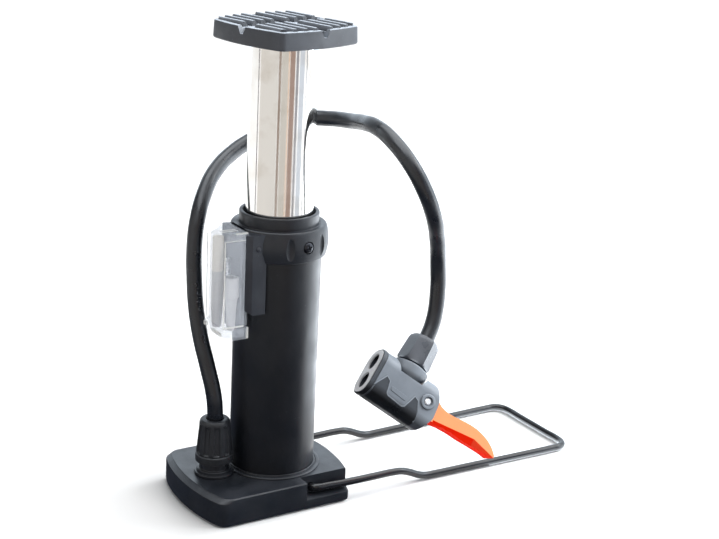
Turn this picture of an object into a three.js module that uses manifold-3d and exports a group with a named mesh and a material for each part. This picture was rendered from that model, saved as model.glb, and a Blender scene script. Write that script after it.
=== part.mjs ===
// Foot-operated mini pump: a plastic base with a wire stand, a barrel with a chromed sliding tube,
// a foot pedal, a rubber hose with a twin valve head, and a clip-on box of adaptors.
// Millimetres, +Z up. The origin is on the barrel's axis, in the plane that the pump stands on.
// +X is the way the wire stand points, and the hose fitting is on the -X side.
import * as THREE from 'three';
import { mergeVertices } from 'three/addons/utils/BufferGeometryUtils.js';
import Module from 'manifold-3d';

const wasm = await Module();
wasm.setup();

// ---------------------------------------------------------------- driving dimensions
const GAP = 0.3;                 // clearance between neighbouring pieces

const BASE_HALF_WIDTH = 32.2;
const BASE_LEFT = 49;            // reach of the bowed end behind the hose fitting
const BASE_RIGHT = 33;           // reach of the bowed end towards the wire stand
const BASE_LEFT_BOW = 98;        // radii of the two bowed ends
const BASE_RIGHT_BOW = 85;
const BASE_BOTTOM = 0.3;
const BASE_TOP = 14.2;
const BASE_CHAMFER = 1.2;
const LEDGE_X = 2.8;             // the stand's ledges start here
const LEDGE_Y = 24.6;
const LEDGE_TOP = 5.1;
const SOLE_THICKNESS = 0.8;
const SOLE_INSET = 3;

const BARREL_R = 21;
const BARREL_WALL = 2;
const BARREL_BOTTOM = 4;
const BARREL_TOP = 135.7;
const FOOT_RING_R = 24;
const FOOT_RING_TOP = 15.2;
const PLUG_TOP = 18;

const TUBE_R = 16.3;
const TUBE_WALL = 1.2;
const TUBE_BOTTOM = 113.6;
const TUBE_TOP = 230;
const PISTON_BOTTOM = 99;
const PISTON_TOP = 121;
const SPRING_SEAT = 118.8;
const SPRING_R = 6.5;
const SPRING_WIRE_R = 0.8;
const SPRING_TURNS = 9;

const BUSH_BOTTOM = 113.5;       // the piston stops here at the top of its stroke
const COLLAR_BOTTOM = 124;
const COLLAR_STEP = 139;
const COLLAR_TOP = 145;
const COLLAR_RING_R = 19.3;
const COLLAR_BULGE_R = 24.1;
const COLLAR_GROOVES = 8;
const COLLAR_SCREWS = 3;
const COLLAR_FLAT_X = -21.6;     // the collar is flattened here for the box's bracket

const PEDAL_CORNER_R = 33.6;
const PEDAL_BOTTOM = 225.7;
const PEDAL_TOP = 233.2;
const PEDAL_TREAD_TOP = 235.3;
const PEDAL_TURN = -31.7;        // degrees; one corner of the pedal points this way
const PEDAL_BULGE = 3.2;         // how far each side bows out
const TREAD_FIRST = 4.6;         // from the pedal's middle line to the first tread's
const TREAD_PITCH = 5.6;

const WIRE_R = 1.9;
const PIVOT_X = 9;
const PIVOT_Z = 8.4;
const STAND_END_X = 168.4;

const FITTING_X = -32;
const FLANGE_R = 9.6;
const NECK_R = 7.2;
const NUT_BOTTOM = 21;
const NUT_TOP = 43;
const HOSE_R = 3.9;
const HOSE_SOCKET_R = 4.3;
const HOSE_SOCKET_DEPTH = 4;

// bracket and box of adaptors: plan ranges [low, high] and heights
const BOX_X = [-37, -26.1];
const BOX_Y = [-16, 8];
const BOX_SLANT = [-28.5, 2.6];  // the far front corner is cut off from this X to this Y
const RAIL_X = [-26.4, -23.9];   // the box's narrower back, held between the bracket's arms
const RAIL_Y = [-14.4, 7.4];
const BOX_BOTTOM = 94.3;
const BOX_TOP = 139.8;
const LID_BOTTOM = 87.3;
const BOX_WALL = 1.1;
const BRACKET_BOTTOM = 99.3;
const BRACKET_TOP = 138.3;
const BRACKET_Y = [-16.6, 9.4];

// the valve head: its own frame has X out of the valve holes, Z up the hose, Y across
const HEAD_ORIGIN = [41.8, -54, 64.7];
const HEAD_X = [-0.742, 0.348, 0.573];
const HEAD_Z = [0.661, 0.235, 0.713];
const HEAD_HALF_WIDTH = 8.3;
const HEAD_HALF_HEIGHT = 12.2;
const HEAD_CORNER_R = 7;
const HEAD_FACE_X = 21;
const HEAD_CAP_X = 18.3;
const HEAD_MID_Z = -2.2;
const HOLE_SPACING = 10.3;
const NECK_X = 3;                // where the hose enters, along the head
const NECK_TOP = 11.6;
const HOSE_SOCKET_Z = 22.4;
const LEVER_PIVOT = [-10, -0.9];
const LEVER_HALF_WIDTH = 4.2;

// the hose's centre line, from the base fitting round the back of the pedal's path to the head
const HOSE_ROUTE = [
  [-32, 0, 39.3], [-32, 0, 44.5], [-32.4, 0.9, 53.8], [-33.8, 5.5, 67.6], [-35, 11.2, 81],
  [-35.3, 16.1, 94.7], [-34.8, 19.6, 108.8], [-33.7, 22.5, 123.1], [-30.2, 26.5, 136.6],
  [-23.4, 32.7, 147.8], [-14, 39.9, 156.3], [-2.2, 45.4, 162.8], [11, 47.8, 168.4],
  [24.2, 45.6, 174], [35.1, 37.5, 178.9], [42.5, 25.1, 180.9], [44.9, 10.9, 182.5],
  [43.5, -3.4, 184.6], [41.4, -17.8, 185.4], [41.5, -31.8, 181.8], [44.5, -43, 173.2],
  [49.5, -49.1, 161], [55.7, -48.9, 147.9], [61.7, -44.5, 135.4], [65.8, -40.7, 122],
  [66.5, -41, 107.5], [63, -44, 93.7], [58.1, -46.3, 86.3], [56.3, -47, 84.4], [54.5, -47.6, 82.5],
];

// ---------------------------------------------------------------- materials
const matte = (color, roughness, metalness = 0) =>
  new THREE.MeshStandardMaterial({ color, roughness, metalness });
const BLACK_PLASTIC = matte(0x24262b, 0.55);
const BARREL_PAINT = matte(0x17181b, 0.35, 0.3);
const CHROME = matte(0xd8d8d8, 0.08, 1);
const STEEL = matte(0xb5b7ba, 0.3, 1);
const RUBBER = matte(0x17171a, 0.75);
const GREY_PLASTIC = matte(0x4a4e55, 0.5);
const ORANGE_PLASTIC = matte(0xf2500f, 0.4);
const CLEAR_PLASTIC = matte(0xdfe3e6, 0.35);
const WHITE_PLASTIC = matte(0xe4e2df, 0.45);
const CREAM_PLASTIC = matte(0xefe4cc, 0.5);
const BLACK_WIRE = matte(0x111114, 0.3, 0.4);

// ---------------------------------------------------------------- closed solids
// Welds a geometry, drops the triangles that collapse to a line, and turns the faces outwards.
function weld(geometry) {
  const bare = geometry.clone();
  bare.deleteAttribute('normal');
  bare.deleteAttribute('uv');
  const merged = mergeVertices(bare, 1e-4);
  const p = merged.attributes.position;
  const index = merged.index.array;
  const kept = [];
  let volume = 0;
  const [a, b, c] = [new THREE.Vector3(), new THREE.Vector3(), new THREE.Vector3()];
  for (let i = 0; i < index.length; i += 3) {
    const [u, v, w] = [index[i], index[i + 1], index[i + 2]];
    if (u === v || v === w || w === u) continue;
    kept.push(u, v, w);
    a.fromBufferAttribute(p, u);
    b.fromBufferAttribute(p, v);
    c.fromBufferAttribute(p, w);
    volume += a.dot(b.cross(c));
  }
  if (volume < 0) kept.reverse();
  merged.setIndex(kept);
  return merged;
}

function solid(geometry) {
  const g = weld(geometry);
  const vertProperties = new Float32Array(g.attributes.position.array);
  const triVerts = new Uint32Array(g.index.array);
  return new wasm.Manifold(new wasm.Mesh({ numProp: 3, vertProperties, triVerts }));
}

function geometryOf(manifold) {
  const mesh = manifold.getMesh();
  const g = new THREE.BufferGeometry();
  g.setAttribute('position', new THREE.BufferAttribute(new Float32Array(mesh.vertProperties), 3));
  g.setIndex([...mesh.triVerts]);
  return g;
}

const cut = (body, ...tools) => tools.reduce((m, tool) => m.subtract(solid(tool)), body);
const join = (body, ...parts) => parts.reduce((m, part) => m.add(solid(part)), body);

// A closed profile of [radius, height] points, turned about the Z axis.
function revolve(points, segments = 40) {
  const profile = points.map(([r, z]) => new THREE.Vector2(r, z));
  const closesOnAxis = points[0][0] === 0 && points[points.length - 1][0] === 0;
  if (!closesOnAxis) profile.push(profile[0].clone());
  return new THREE.LatheGeometry(profile, segments).rotateX(Math.PI / 2);
}

const ring = (inner, outer, z0, z1, segments) =>
  revolve([[inner, z0], [outer, z0], [outer, z1], [inner, z1]], segments);

const rod = (radius, z0, z1, segments = 24) =>
  new THREE.CylinderGeometry(radius, radius, z1 - z0, segments)
    .rotateX(Math.PI / 2)
    .translate(0, 0, (z0 + z1) / 2);

const block = ([x0, x1], [y0, y1], [z0, z1]) =>
  new THREE.BoxGeometry(x1 - x0, y1 - y0, z1 - z0)
    .translate((x0 + x1) / 2, (y0 + y1) / 2, (z0 + z1) / 2);

const prism = (shape, z0, z1, curveSegments = 10) =>
  new THREE.ExtrudeGeometry(shape, { depth: z1 - z0, bevelEnabled: false, curveSegments })
    .translate(0, 0, z0);

// A prism whose top edge is chamfered inwards.
function chamferedPrism(shape, z0, z1, chamfer, curveSegments = 10) {
  const body = new THREE.ExtrudeGeometry(shape, {
    depth: z1 - z0 - 2 * chamfer,
    bevelSize: chamfer,
    bevelThickness: chamfer,
    bevelOffset: -chamfer,
    bevelSegments: 1,
    curveSegments,
  });
  return body.translate(0, 0, z0 + chamfer);
}

const polygon = (points) => new THREE.Shape(points.map(([x, y]) => new THREE.Vector2(x, y)));

// A polygon with its corners rounded, each corner given as [x, y, radius].
function roundedShape(corners) {
  const shape = new THREE.Shape();
  corners.forEach(([x, y, radius], i) => {
    const corner = new THREE.Vector2(x, y);
    const before = new THREE.Vector2(...corners.at(i - 1).slice(0, 2));
    const after = new THREE.Vector2(...corners[(i + 1) % corners.length].slice(0, 2));
    const start = corner.clone().add(before.sub(corner).setLength(radius));
    const end = corner.clone().add(after.sub(corner).setLength(radius));
    if (i === 0) shape.moveTo(start.x, start.y);
    else shape.lineTo(start.x, start.y);
    shape.quadraticCurveTo(corner.x, corner.y, end.x, end.y);
  });
  shape.closePath();
  return shape;
}

function circle(radius, sides) {
  const turn = (i) => (2 * Math.PI * i) / sides;
  return polygon(Array.from({ length: sides }, (_, i) =>
    [radius * Math.cos(turn(i)), radius * Math.sin(turn(i))]));
}

const sweep = (curve, radius, sides, steps) =>
  new THREE.ExtrudeGeometry(circle(radius, sides), { steps, bevelEnabled: false, extrudePath: curve });

const through = (points) =>
  new THREE.CatmullRomCurve3(points.map((p) => new THREE.Vector3(...p)), false, 'centripetal');

// ---------------------------------------------------------------- the scene graph
const pump = new THREE.Group();

function add(parent, name, shape, material) {
  const geometry = shape.getMesh ? geometryOf(shape) : weld(shape);
  const mesh = new THREE.Mesh(geometry, material);
  mesh.name = name;
  parent.add(mesh);
  return mesh;
}

// ---------------------------------------------------------------- base
// The base's plan: straight sides, two bowed ends and rounded corners, drawn in by an inset.
function basePlan(inset = 0) {
  const half = BASE_HALF_WIDTH - inset;
  const bow = (reach, radius, y) => reach - inset - radius + Math.sqrt(radius ** 2 - y ** 2);
  const left = [-0.82, -0.55, -0.28, 0, 0.28, 0.55, 0.82].map((t) => [
    -bow(BASE_LEFT, BASE_LEFT_BOW, t * half), -t * half]);
  const right = [-0.93, -0.6, -0.3, 0, 0.3, 0.6, 0.93].map((t) => [
    bow(BASE_RIGHT, BASE_RIGHT_BOW, t * half), t * half]);
  const shape = new THREE.Shape();
  shape.moveTo(...left[0]);
  left.slice(1).forEach((p) => shape.lineTo(...p));
  shape.quadraticCurveTo(-bow(BASE_LEFT, BASE_LEFT_BOW, half) + 0.6, -half, -38 + inset, -half);
  shape.lineTo(right[0][0] - 2.4, -half);
  shape.quadraticCurveTo(right[0][0], -half, ...right[0]);
  right.slice(1).forEach((p) => shape.lineTo(...p));
  shape.quadraticCurveTo(right[0][0], half, right[0][0] - 2.4, half);
  shape.lineTo(-38 + inset, half);
  shape.quadraticCurveTo(-bow(BASE_LEFT, BASE_LEFT_BOW, half) + 0.6, half, ...left[0]);
  return shape;
}

const BASE_FLOOR = BARREL_BOTTOM - GAP;
const CHANNEL = [2.2, BASE_FLOOR + 0.1];
const BASE_SCREW_R = 11;

function makeBase() {
  let shell = solid(chamferedPrism(basePlan(), BASE_BOTTOM, BASE_TOP, BASE_CHAMFER, 6));
  shell = join(shell, rod(FOOT_RING_R, BASE_TOP - 1, FOOT_RING_TOP, 48));
  shell = cut(shell, rod(BARREL_R + GAP, BASE_FLOOR, FOOT_RING_TOP + 1, 48));
  for (const side of [-1, 1]) {
    const across = [side * LEDGE_Y, side * 40].sort((a, b) => a - b);
    const hole = rod(WIRE_R + GAP, 17, 30, 16).rotateX(-side * Math.PI / 2);
    shell = cut(shell, block([LEDGE_X, 40], across, [LEDGE_TOP, 20]), hole.translate(PIVOT_X, 0, PIVOT_Z));
  }
  const flangeSpace = rod(FLANGE_R + GAP, BASE_TOP, 20, 32).translate(FITTING_X, 0, 0);
  shell = cut(shell, flangeSpace, rod(5.3, CHANNEL[0], 20).translate(FITTING_X, 0, 0));
  shell = cut(shell, block([FITTING_X, 1.5], [-2, 2], CHANNEL));
  shell = cut(shell, prism(basePlan(SOLE_INSET), BASE_BOTTOM - 1, SOLE_THICKNESS + GAP, 6));
  for (let i = 0; i < 3; i += 1) shell = cut(shell, placeBaseScrew(rod(1.7, 0, 6, 12), i));
  add(pump, 'base_shell', shell, BLACK_PLASTIC);
  add(pump, 'sole_pad', prism(basePlan(SOLE_INSET + GAP), 0, SOLE_THICKNESS, 6), RUBBER);
}

function placeBaseScrew(geometry, i) {
  const angle = Math.PI / 2 + (2 * Math.PI * i) / 3;
  return geometry.translate(BASE_SCREW_R * Math.cos(angle), BASE_SCREW_R * Math.sin(angle), 0);
}

// The cylinder's end plug: seals the barrel's foot, seats the return spring and holds the check valve.
const VALVE_SEAT_Z = 14.5;
const VALVE_BALL_R = 2.4;
const VALVE_BALL_Z = VALVE_SEAT_Z - 2.1;

function makeBarrelFoot() {
  let plug = solid(revolve([
    [0, BARREL_BOTTOM + GAP], [18.4, BARREL_BOTTOM + GAP], [18.4, 9], [17, 9], [17, 11], [18.4, 11],
    [18.4, PLUG_TOP - 2], [10, PLUG_TOP - 2], [10, PLUG_TOP], [0, PLUG_TOP],
  ], 36));
  plug = cut(plug, rod(1.5, 0, PLUG_TOP + 1, 16), rod(3, 0, VALVE_SEAT_Z, 20));
  for (let i = 0; i < 3; i += 1) plug = cut(plug, placeBaseScrew(rod(1.5, 0, 11, 12), i));
  add(pump, 'barrel_plug', plug, BLACK_PLASTIC);
  add(pump, 'plug_seal', ring(17.3, 18.7, 9.3, 10.7, 36), RUBBER);
  add(pump, 'check_ball', new THREE.SphereGeometry(VALVE_BALL_R, 12, 8)
    .translate(0, 0, VALVE_BALL_Z), STEEL);
  const valveSpring = coil(1.9, 0.3, BASE_FLOOR + 0.8, VALVE_BALL_Z - VALVE_BALL_R - 0.8, 4, 5);
  add(pump, 'valve_spring', valveSpring, STEEL);
  for (let i = 0; i < 3; i += 1) {
    const screw = revolve([[0, 1.4], [1.4, 1.4], [1.4, 10], [0, 10]], 12);
    add(pump, `base_screw_${i + 1}`, placeBaseScrew(screw, i), STEEL);
  }
}

// A helical spring between two heights.
function coil(radius, wire, z0, z1, turns, sides) {
  const steps = turns * 10;
  const points = Array.from({ length: steps + 1 }, (_, i) => {
    const angle = (2 * Math.PI * turns * i) / steps;
    return [radius * Math.cos(angle), radius * Math.sin(angle), z0 + ((z1 - z0) * i) / steps];
  });
  return sweep(through(points), wire, sides, steps);
}

// ---------------------------------------------------------------- barrel and collar
function collarProfile() {
  const wall = BARREL_R + 0.25;
  const bulge = [[22.7, COLLAR_BOTTOM], [COLLAR_BULGE_R, 129], [COLLAR_BULGE_R, 133.5], [22.2, COLLAR_STEP]];
  return [
    [wall, COLLAR_BOTTOM], ...bulge, [COLLAR_RING_R + 0.4, COLLAR_STEP],
    [COLLAR_RING_R, COLLAR_STEP + 0.8], [COLLAR_RING_R, COLLAR_TOP], [17.6, COLLAR_TOP],
    [17.2, COLLAR_TOP - 3.5], [18.9, COLLAR_TOP - 3.5],
    [18.9, BARREL_TOP + GAP], [wall, BARREL_TOP + GAP],
  ];
}

const COLLAR_SCREW_ANGLES = Array.from(
  { length: COLLAR_SCREWS }, (_, i) => -82.5 + (360 / COLLAR_SCREWS) * i,
);
const COLLAR_SCREW_Z = 131.7;
const onCollar = (geometry, degrees) =>
  geometry.rotateY(Math.PI / 2).rotateZ(THREE.MathUtils.degToRad(degrees));

function makeBarrel() {
  let barrel = solid(ring(BARREL_R - BARREL_WALL, BARREL_R, BARREL_BOTTOM, BARREL_TOP, 48));
  let collar = solid(revolve(collarProfile(), 40));
  for (let i = 0; i < COLLAR_GROOVES; i += 1) {
    const angle = THREE.MathUtils.degToRad(-105 + (360 / COLLAR_GROOVES) * i);
    collar = cut(collar, rod(1.4, COLLAR_BOTTOM - 1, COLLAR_STEP + 0.5, 8)
      .translate(24.8 * Math.cos(angle), 24.8 * Math.sin(angle), 0));
  }
  COLLAR_SCREW_ANGLES.forEach((angle, i) => {
    const recess = onCollar(rod(3, 22.9, 26, 14), angle).translate(0, 0, COLLAR_SCREW_Z);
    const hole = onCollar(rod(1.6, 18, 26, 10), angle).translate(0, 0, COLLAR_SCREW_Z);
    collar = cut(collar, recess, hole);
    barrel = cut(barrel, hole);
    const screwProfile = [
      [0, 19.3], [1.3, 19.3], [1.3, 23.2], [2.6, 23.2], [2.4, 24], [1.6, 24.3], [0, 24.3],
    ];
    const screw = onCollar(revolve(screwProfile, 16), angle);
    add(pump, `collar_screw_${i + 1}`, screw.translate(0, 0, COLLAR_SCREW_Z), STEEL);
  });
  const flatY = [RAIL_Y[0] - 0.2, BRACKET_Y[1] + GAP];
  collar = cut(collar, block([-31, COLLAR_FLAT_X], flatY, [120, COLLAR_STEP + 0.2]));
  add(pump, 'barrel', barrel, BARREL_PAINT);
  add(pump, 'collar', collar, BLACK_PLASTIC);
  let bush = solid(ring(TUBE_R + 0.25, 18.7, BUSH_BOTTOM, BARREL_TOP, 36));
  COLLAR_SCREW_ANGLES.forEach((angle) => {
    bush = cut(bush, onCollar(rod(1.6, 17.6, 26, 10), angle).translate(0, 0, COLLAR_SCREW_Z));
  });
  add(pump, 'guide_bush', bush, WHITE_PLASTIC);
  add(pump, 'tube_wiper', ring(TUBE_R + 0.25, 18.6, BARREL_TOP + GAP, COLLAR_TOP - 3.8, 36), RUBBER);
}

// ---------------------------------------------------------------- piston, tube and pedal
// The pedal's plan: four bowed sides between four corners.
function pedalPlan(cornerRadius) {
  const corner = (k) => {
    const angle = THREE.MathUtils.degToRad(PEDAL_TURN + 90 * k);
    return new THREE.Vector2(Math.cos(angle), Math.sin(angle)).multiplyScalar(cornerRadius);
  };
  const points = [];
  for (let k = 0; k < 4; k += 1) {
    const [start, end] = [corner(k), corner(k + 1)];
    const outwards = start.clone().add(end).normalize();
    for (let i = 0; i < 8; i += 1) {
      const t = i / 8;
      const bow = PEDAL_BULGE * 4 * t * (1 - t);
      points.push(start.clone().lerp(end, t).addScaledVector(outwards, bow));
    }
  }
  return new THREE.Shape(points);
}

// Straight treads in four groups, with a channel along and a channel across the pedal between them.
function pedalTreads() {
  const treads = [];
  const turn = THREE.MathUtils.degToRad(PEDAL_TURN - 45);
  for (const along of [[-22.4, -3.6], [3.6, 22.4]]) {
    for (const side of [-1, 1]) {
      for (let i = 0; i < 4; i += 1) {
        const middle = side * (TREAD_FIRST + TREAD_PITCH * i);
        const tread = block(along, [middle - 1.3, middle + 1.3], [PEDAL_TOP - 0.5, PEDAL_TREAD_TOP]);
        treads.push(tread.rotateZ(turn));
      }
    }
  }
  return treads;
}

// A V-shaped notch in the middle of each side's rim, where the channels run out.
function pedalNotches() {
  return [0, 1, 2, 3].map((k) => {
    const notch = block([24.5, 32], [-3, 3], [-3, 3]).rotateX(Math.PI / 4).translate(0, 0, PEDAL_TOP + 1.4);
    return notch.rotateZ(THREE.MathUtils.degToRad(PEDAL_TURN - 45 + 90 * k));
  });
}

function makePedal() {
  const pistonProfile = [
    [0, SPRING_SEAT], [8.5, SPRING_SEAT], [8.5, PISTON_BOTTOM], [18, PISTON_BOTTOM], [18, 101.2],
    [15, 101.2],
    [15, 106.2], [18.5, 106.2], [18.5, 107.6], [17.2, 107.6], [17.2, 109.8], [18.5, 109.8],
    [18.5, 113.2], [14.8, 113.2], [14.8, PISTON_TOP], [0, PISTON_TOP],
  ];
  add(pump, 'piston_head', revolve(pistonProfile, 36), WHITE_PLASTIC);
  const cup = [[15.4, 101.6], [18.85, 101.6], [18.4, 105.8], [15.4, 105.8]];
  add(pump, 'piston_cup', revolve(cup, 36), RUBBER);
  add(pump, 'piston_ring', ring(17.5, 18.85, 107.9, 109.5, 36), WHITE_PLASTIC);
  const spring = coil(SPRING_R, SPRING_WIRE_R, PLUG_TOP + 1.1, SPRING_SEAT - 1.1, SPRING_TURNS, 5);
  add(pump, 'return_spring', spring, STEEL);

  add(pump, 'piston_tube', ring(TUBE_R - TUBE_WALL, TUBE_R, TUBE_BOTTOM, TUBE_TOP, 48), CHROME);
  const plugProfile = [[2.2, 214], [14.8, 214], [14.8, PEDAL_BOTTOM + 0.5], [2.2, PEDAL_BOTTOM + 0.5]];
  add(pump, 'tube_plug', revolve(plugProfile, 28), WHITE_PLASTIC);
  const screwProfile = [[0, 210], [4, 210], [4, 213.7], [1.8, 213.7], [1.8, 231], [0, 231]];
  add(pump, 'pedal_screw', revolve(screwProfile, 16), STEEL);

  let pedal = solid(chamferedPrism(pedalPlan(PEDAL_CORNER_R), PEDAL_BOTTOM, PEDAL_TOP, 0.5));
  pedal = cut(pedal, ring(TUBE_R - TUBE_WALL - GAP, TUBE_R + GAP, PEDAL_BOTTOM - 1, TUBE_TOP + GAP, 48));
  pedal = cut(pedal, rod(2.1, 220, 231.3, 16), rod(TUBE_R - TUBE_WALL, 220, PEDAL_BOTTOM + 0.8, 40));
  pedal = cut(join(pedal, ...pedalTreads()), ...pedalNotches());
  add(pump, 'pedal', pedal, BLACK_PLASTIC);
}

// ---------------------------------------------------------------- wire stand
function makeStand() {
  const side = [
    [PIVOT_X, 20.6, PIVOT_Z], [PIVOT_X, 22.6, PIVOT_Z], [PIVOT_X + 0.1, 24.6, PIVOT_Z],
    [PIVOT_X + 0.8, 26.4, PIVOT_Z], [PIVOT_X + 2.6, 27.2, PIVOT_Z - 0.1],
    [16, 27.4, 8.2], [30, 27.7, 7.8], [44, 28, 7.8], [56, 28.2, 7.8], [61, 28.3, 7.3],
    [66, 28.4, 5.6], [71, 28.5, 3.4], [76, 28.6, 2.1], [82, 28.8, WIRE_R + 0.05],
    [100, 29.2, WIRE_R + 0.05], [130, 29.9, WIRE_R + 0.05], [158, 30.5, WIRE_R + 0.05],
    [162.6, 30.4, WIRE_R + 0.05], [165.6, 29.2, WIRE_R + 0.05], [167.5, 26.8, WIRE_R + 0.05],
    [STAND_END_X, 23.5, WIRE_R + 0.05], [STAND_END_X, 12, WIRE_R + 0.05],
  ];
  const near = side.map(([x, y, z]) => [x, -y, z]);
  const far = [...side].reverse();
  const curve = through([...near, [STAND_END_X, 0, WIRE_R + 0.05], ...far]);
  add(pump, 'wire_stand', sweep(curve, WIRE_R, 8, 80), BLACK_WIRE);
}

// ---------------------------------------------------------------- hose and its fittings
function makeHose() {
  const fitting = [
    [0, CHANNEL[0] + GAP], [5, CHANNEL[0] + GAP], [5, BASE_TOP + GAP], [FLANGE_R, BASE_TOP + GAP],
    [FLANGE_R, BASE_TOP + 2.4], [NECK_R, BASE_TOP + 2.9], [NECK_R, NUT_BOTTOM - GAP],
    [4.6, NUT_BOTTOM - GAP],
    [4.6, 32], [0, 32],
  ];
  let outlet = cut(solid(revolve(fitting, 32)), rod(1.8, 0, 34, 12));
  outlet = cut(outlet, block([0, 12], [-1.8, 1.8], [CHANNEL[0], BASE_FLOOR + 0.4]));
  add(pump, 'outlet_fitting', geometryOf(outlet).translate(FITTING_X, 0, 0), BLACK_PLASTIC);
  const socketFloor = NUT_TOP - HOSE_SOCKET_DEPTH;
  const nut = [
    [4.9, NUT_BOTTOM], [8.6, NUT_BOTTOM], [9.2, NUT_BOTTOM + 1], [9.2, NUT_BOTTOM + 4], [7.6, NUT_TOP - 2],
    [6.6, NUT_TOP], [HOSE_SOCKET_R, NUT_TOP], [HOSE_SOCKET_R, socketFloor], [1.8, socketFloor],
    [1.8, 33], [4.9, 33],
  ];
  add(pump, 'base_hose_nut', revolve(nut, 32).translate(FITTING_X, 0, 0), RUBBER);
  const curve = through(HOSE_ROUTE);
  add(pump, 'hose', sweep(curve, HOSE_R, 8, 72), RUBBER);
}

// ---------------------------------------------------------------- valve head
function headMatrix() {
  const x = new THREE.Vector3(...HEAD_X).normalize();
  const z = new THREE.Vector3(...HEAD_Z);
  z.addScaledVector(x, -z.dot(x)).normalize();
  const y = new THREE.Vector3().crossVectors(z, x);
  return new THREE.Matrix4().makeBasis(x, y, z).setPosition(...HEAD_ORIGIN);
}

// Turns a shape drawn in the head's side plane (x, z) into a solid across its width.
const sideways = (geometry) => geometry.rotateX(Math.PI / 2);

function sidePrism(shape, halfWidth, bevel) {
  const geometry = new THREE.ExtrudeGeometry(shape, {
    depth: 2 * (halfWidth - bevel),
    bevelEnabled: bevel > 0,
    bevelSize: bevel,
    bevelThickness: bevel,
    bevelOffset: -bevel,
    bevelSegments: 2,
    curveSegments: 4,
  });
  return sideways(geometry.translate(0, 0, -(halfWidth - bevel)));
}

// Turns a shape drawn across the head (z upwards, y sideways) into a solid between two X values.
const alongHead = (shape, x0, x1, curveSegments) =>
  prism(shape, 0, x1 - x0, curveSegments)
    .rotateX(Math.PI / 2)
    .rotateZ(Math.PI / 2)
    .translate(x0, 0, HEAD_MID_Z);

// Two round ends of a given radius, one above the other, as far apart as the valve holes.
function obround(radius, x0, x1) {
  const half = HOLE_SPACING / 2;
  const shape = new THREE.Shape();
  shape.absarc(0, half, radius, 0, Math.PI, false);
  shape.absarc(0, -half, radius, Math.PI, 2 * Math.PI, false);
  return alongHead(shape, x0, x1, 12);
}

function headSection(x0, x1) {
  const [y, z, r] = [HEAD_HALF_WIDTH, HEAD_HALF_HEIGHT, HEAD_CORNER_R];
  const shape = new THREE.Shape();
  shape.absarc(y - r, z - r, r, 0, Math.PI / 2, false);
  shape.absarc(r - y, z - r, r, Math.PI / 2, Math.PI, false);
  shape.absarc(r - y, r - z, r, Math.PI, 1.5 * Math.PI, false);
  shape.absarc(y - r, r - z, r, 1.5 * Math.PI, 2 * Math.PI, false);
  return alongHead(shape, x0, x1, 8);
}

const valveHole = (radius, z, x0, x1) =>
  rod(radius, x0, x1, 20).rotateY(Math.PI / 2).translate(0, 0, z);
const HOLE_Z = [HEAD_MID_Z + HOLE_SPACING / 2, HEAD_MID_Z - HOLE_SPACING / 2];

function makeHead() {
  const head = new THREE.Group();
  head.applyMatrix4(headMatrix());
  pump.add(head);

  const outline = roundedShape([
    [20, -16, 1], [-13.1, -15, 1], [-16.4, -6.5, 3], [-15.6, 1.5, 3.4], [-12.4, 8.4, 2.6],
    [-8, 10.4, 2], [20, 10.4, 1],
  ]);
  const [pivotX, pivotZ] = LEVER_PIVOT;
  const slotY = [-LEVER_HALF_WIDTH - 0.4, LEVER_HALF_WIDTH + 0.4];
  let body = solid(headSection(-18, HEAD_CAP_X - GAP)).intersect(solid(sidePrism(outline, 9, 0)));
  body = cut(body, block([-24, -3.3], slotY, [-8.8, 14]));
  body = join(body, rod(8.8, 5.4, 10.9, 28).translate(NECK_X, 0, 0));
  body = join(body, rod(7.2, 10, NECK_TOP, 28).translate(NECK_X, 0, 0));
  body = cut(body, obround(5.6, -1, 19));
  body = cut(body, valveHole(2.8, HEAD_MID_Z, -5, 0));
  body = cut(body, rod(2.2, 0, 14, 16).translate(NECK_X, 0, 0));
  body = cut(body, sideways(rod(1.7, -10, 10, 16)).translate(pivotX, 0, pivotZ));
  add(head, 'head_body', body, GREY_PLASTIC);

  let cap = solid(headSection(HEAD_CAP_X, HEAD_FACE_X));
  HOLE_Z.forEach((z) => { cap = cut(cap, valveHole(4.35, z, 10, 25)); });
  add(head, 'head_cap', cap, GREY_PLASTIC);

  let gasket = solid(obround(5.3, 10, HEAD_CAP_X - GAP));
  gasket = cut(gasket, valveHole(3.9, HOLE_Z[0], 0, 25), valveHole(2.7, HOLE_Z[1], 0, 25));
  add(head, 'valve_gasket', gasket, RUBBER);

  let plunger = solid(obround(5.2, 6.4, 8.4));
  HOLE_Z.forEach((z) => { plunger = cut(plunger, valveHole(1.5, z, 0, 12)); });
  plunger = join(plunger, valveHole(2.4, HEAD_MID_Z, -4.1, 7));
  add(head, 'head_plunger', plunger, WHITE_PLASTIC);

  add(head, 'lever_pin', sideways(rod(1.5, -8.6, 8.6, 16)).translate(pivotX, 0, pivotZ), STEEL);
  add(head, 'head_lever', leverSolid(), ORANGE_PLASTIC);

  const nutBottom = NECK_TOP + GAP;
  const nut = solid(revolve([
    [2.2, nutBottom], [8, nutBottom], [8.3, nutBottom + 0.8], [7.6, HOSE_SOCKET_Z + 3],
    [6.6, HOSE_SOCKET_Z + 4.4], [HOSE_SOCKET_R, HOSE_SOCKET_Z + 4.4], [HOSE_SOCKET_R, HOSE_SOCKET_Z],
    [2.2, HOSE_SOCKET_Z],
  ], 28));
  const flats = solid(prism(circle(8.5, 6), nutBottom - 1, HOSE_SOCKET_Z + 6));
  const place = (manifold) => geometryOf(manifold).rotateZ(Math.PI / 15).translate(NECK_X, 0, 0);
  add(head, 'head_hose_nut', place(nut.intersect(flats)), GREY_PLASTIC);
}

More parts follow.
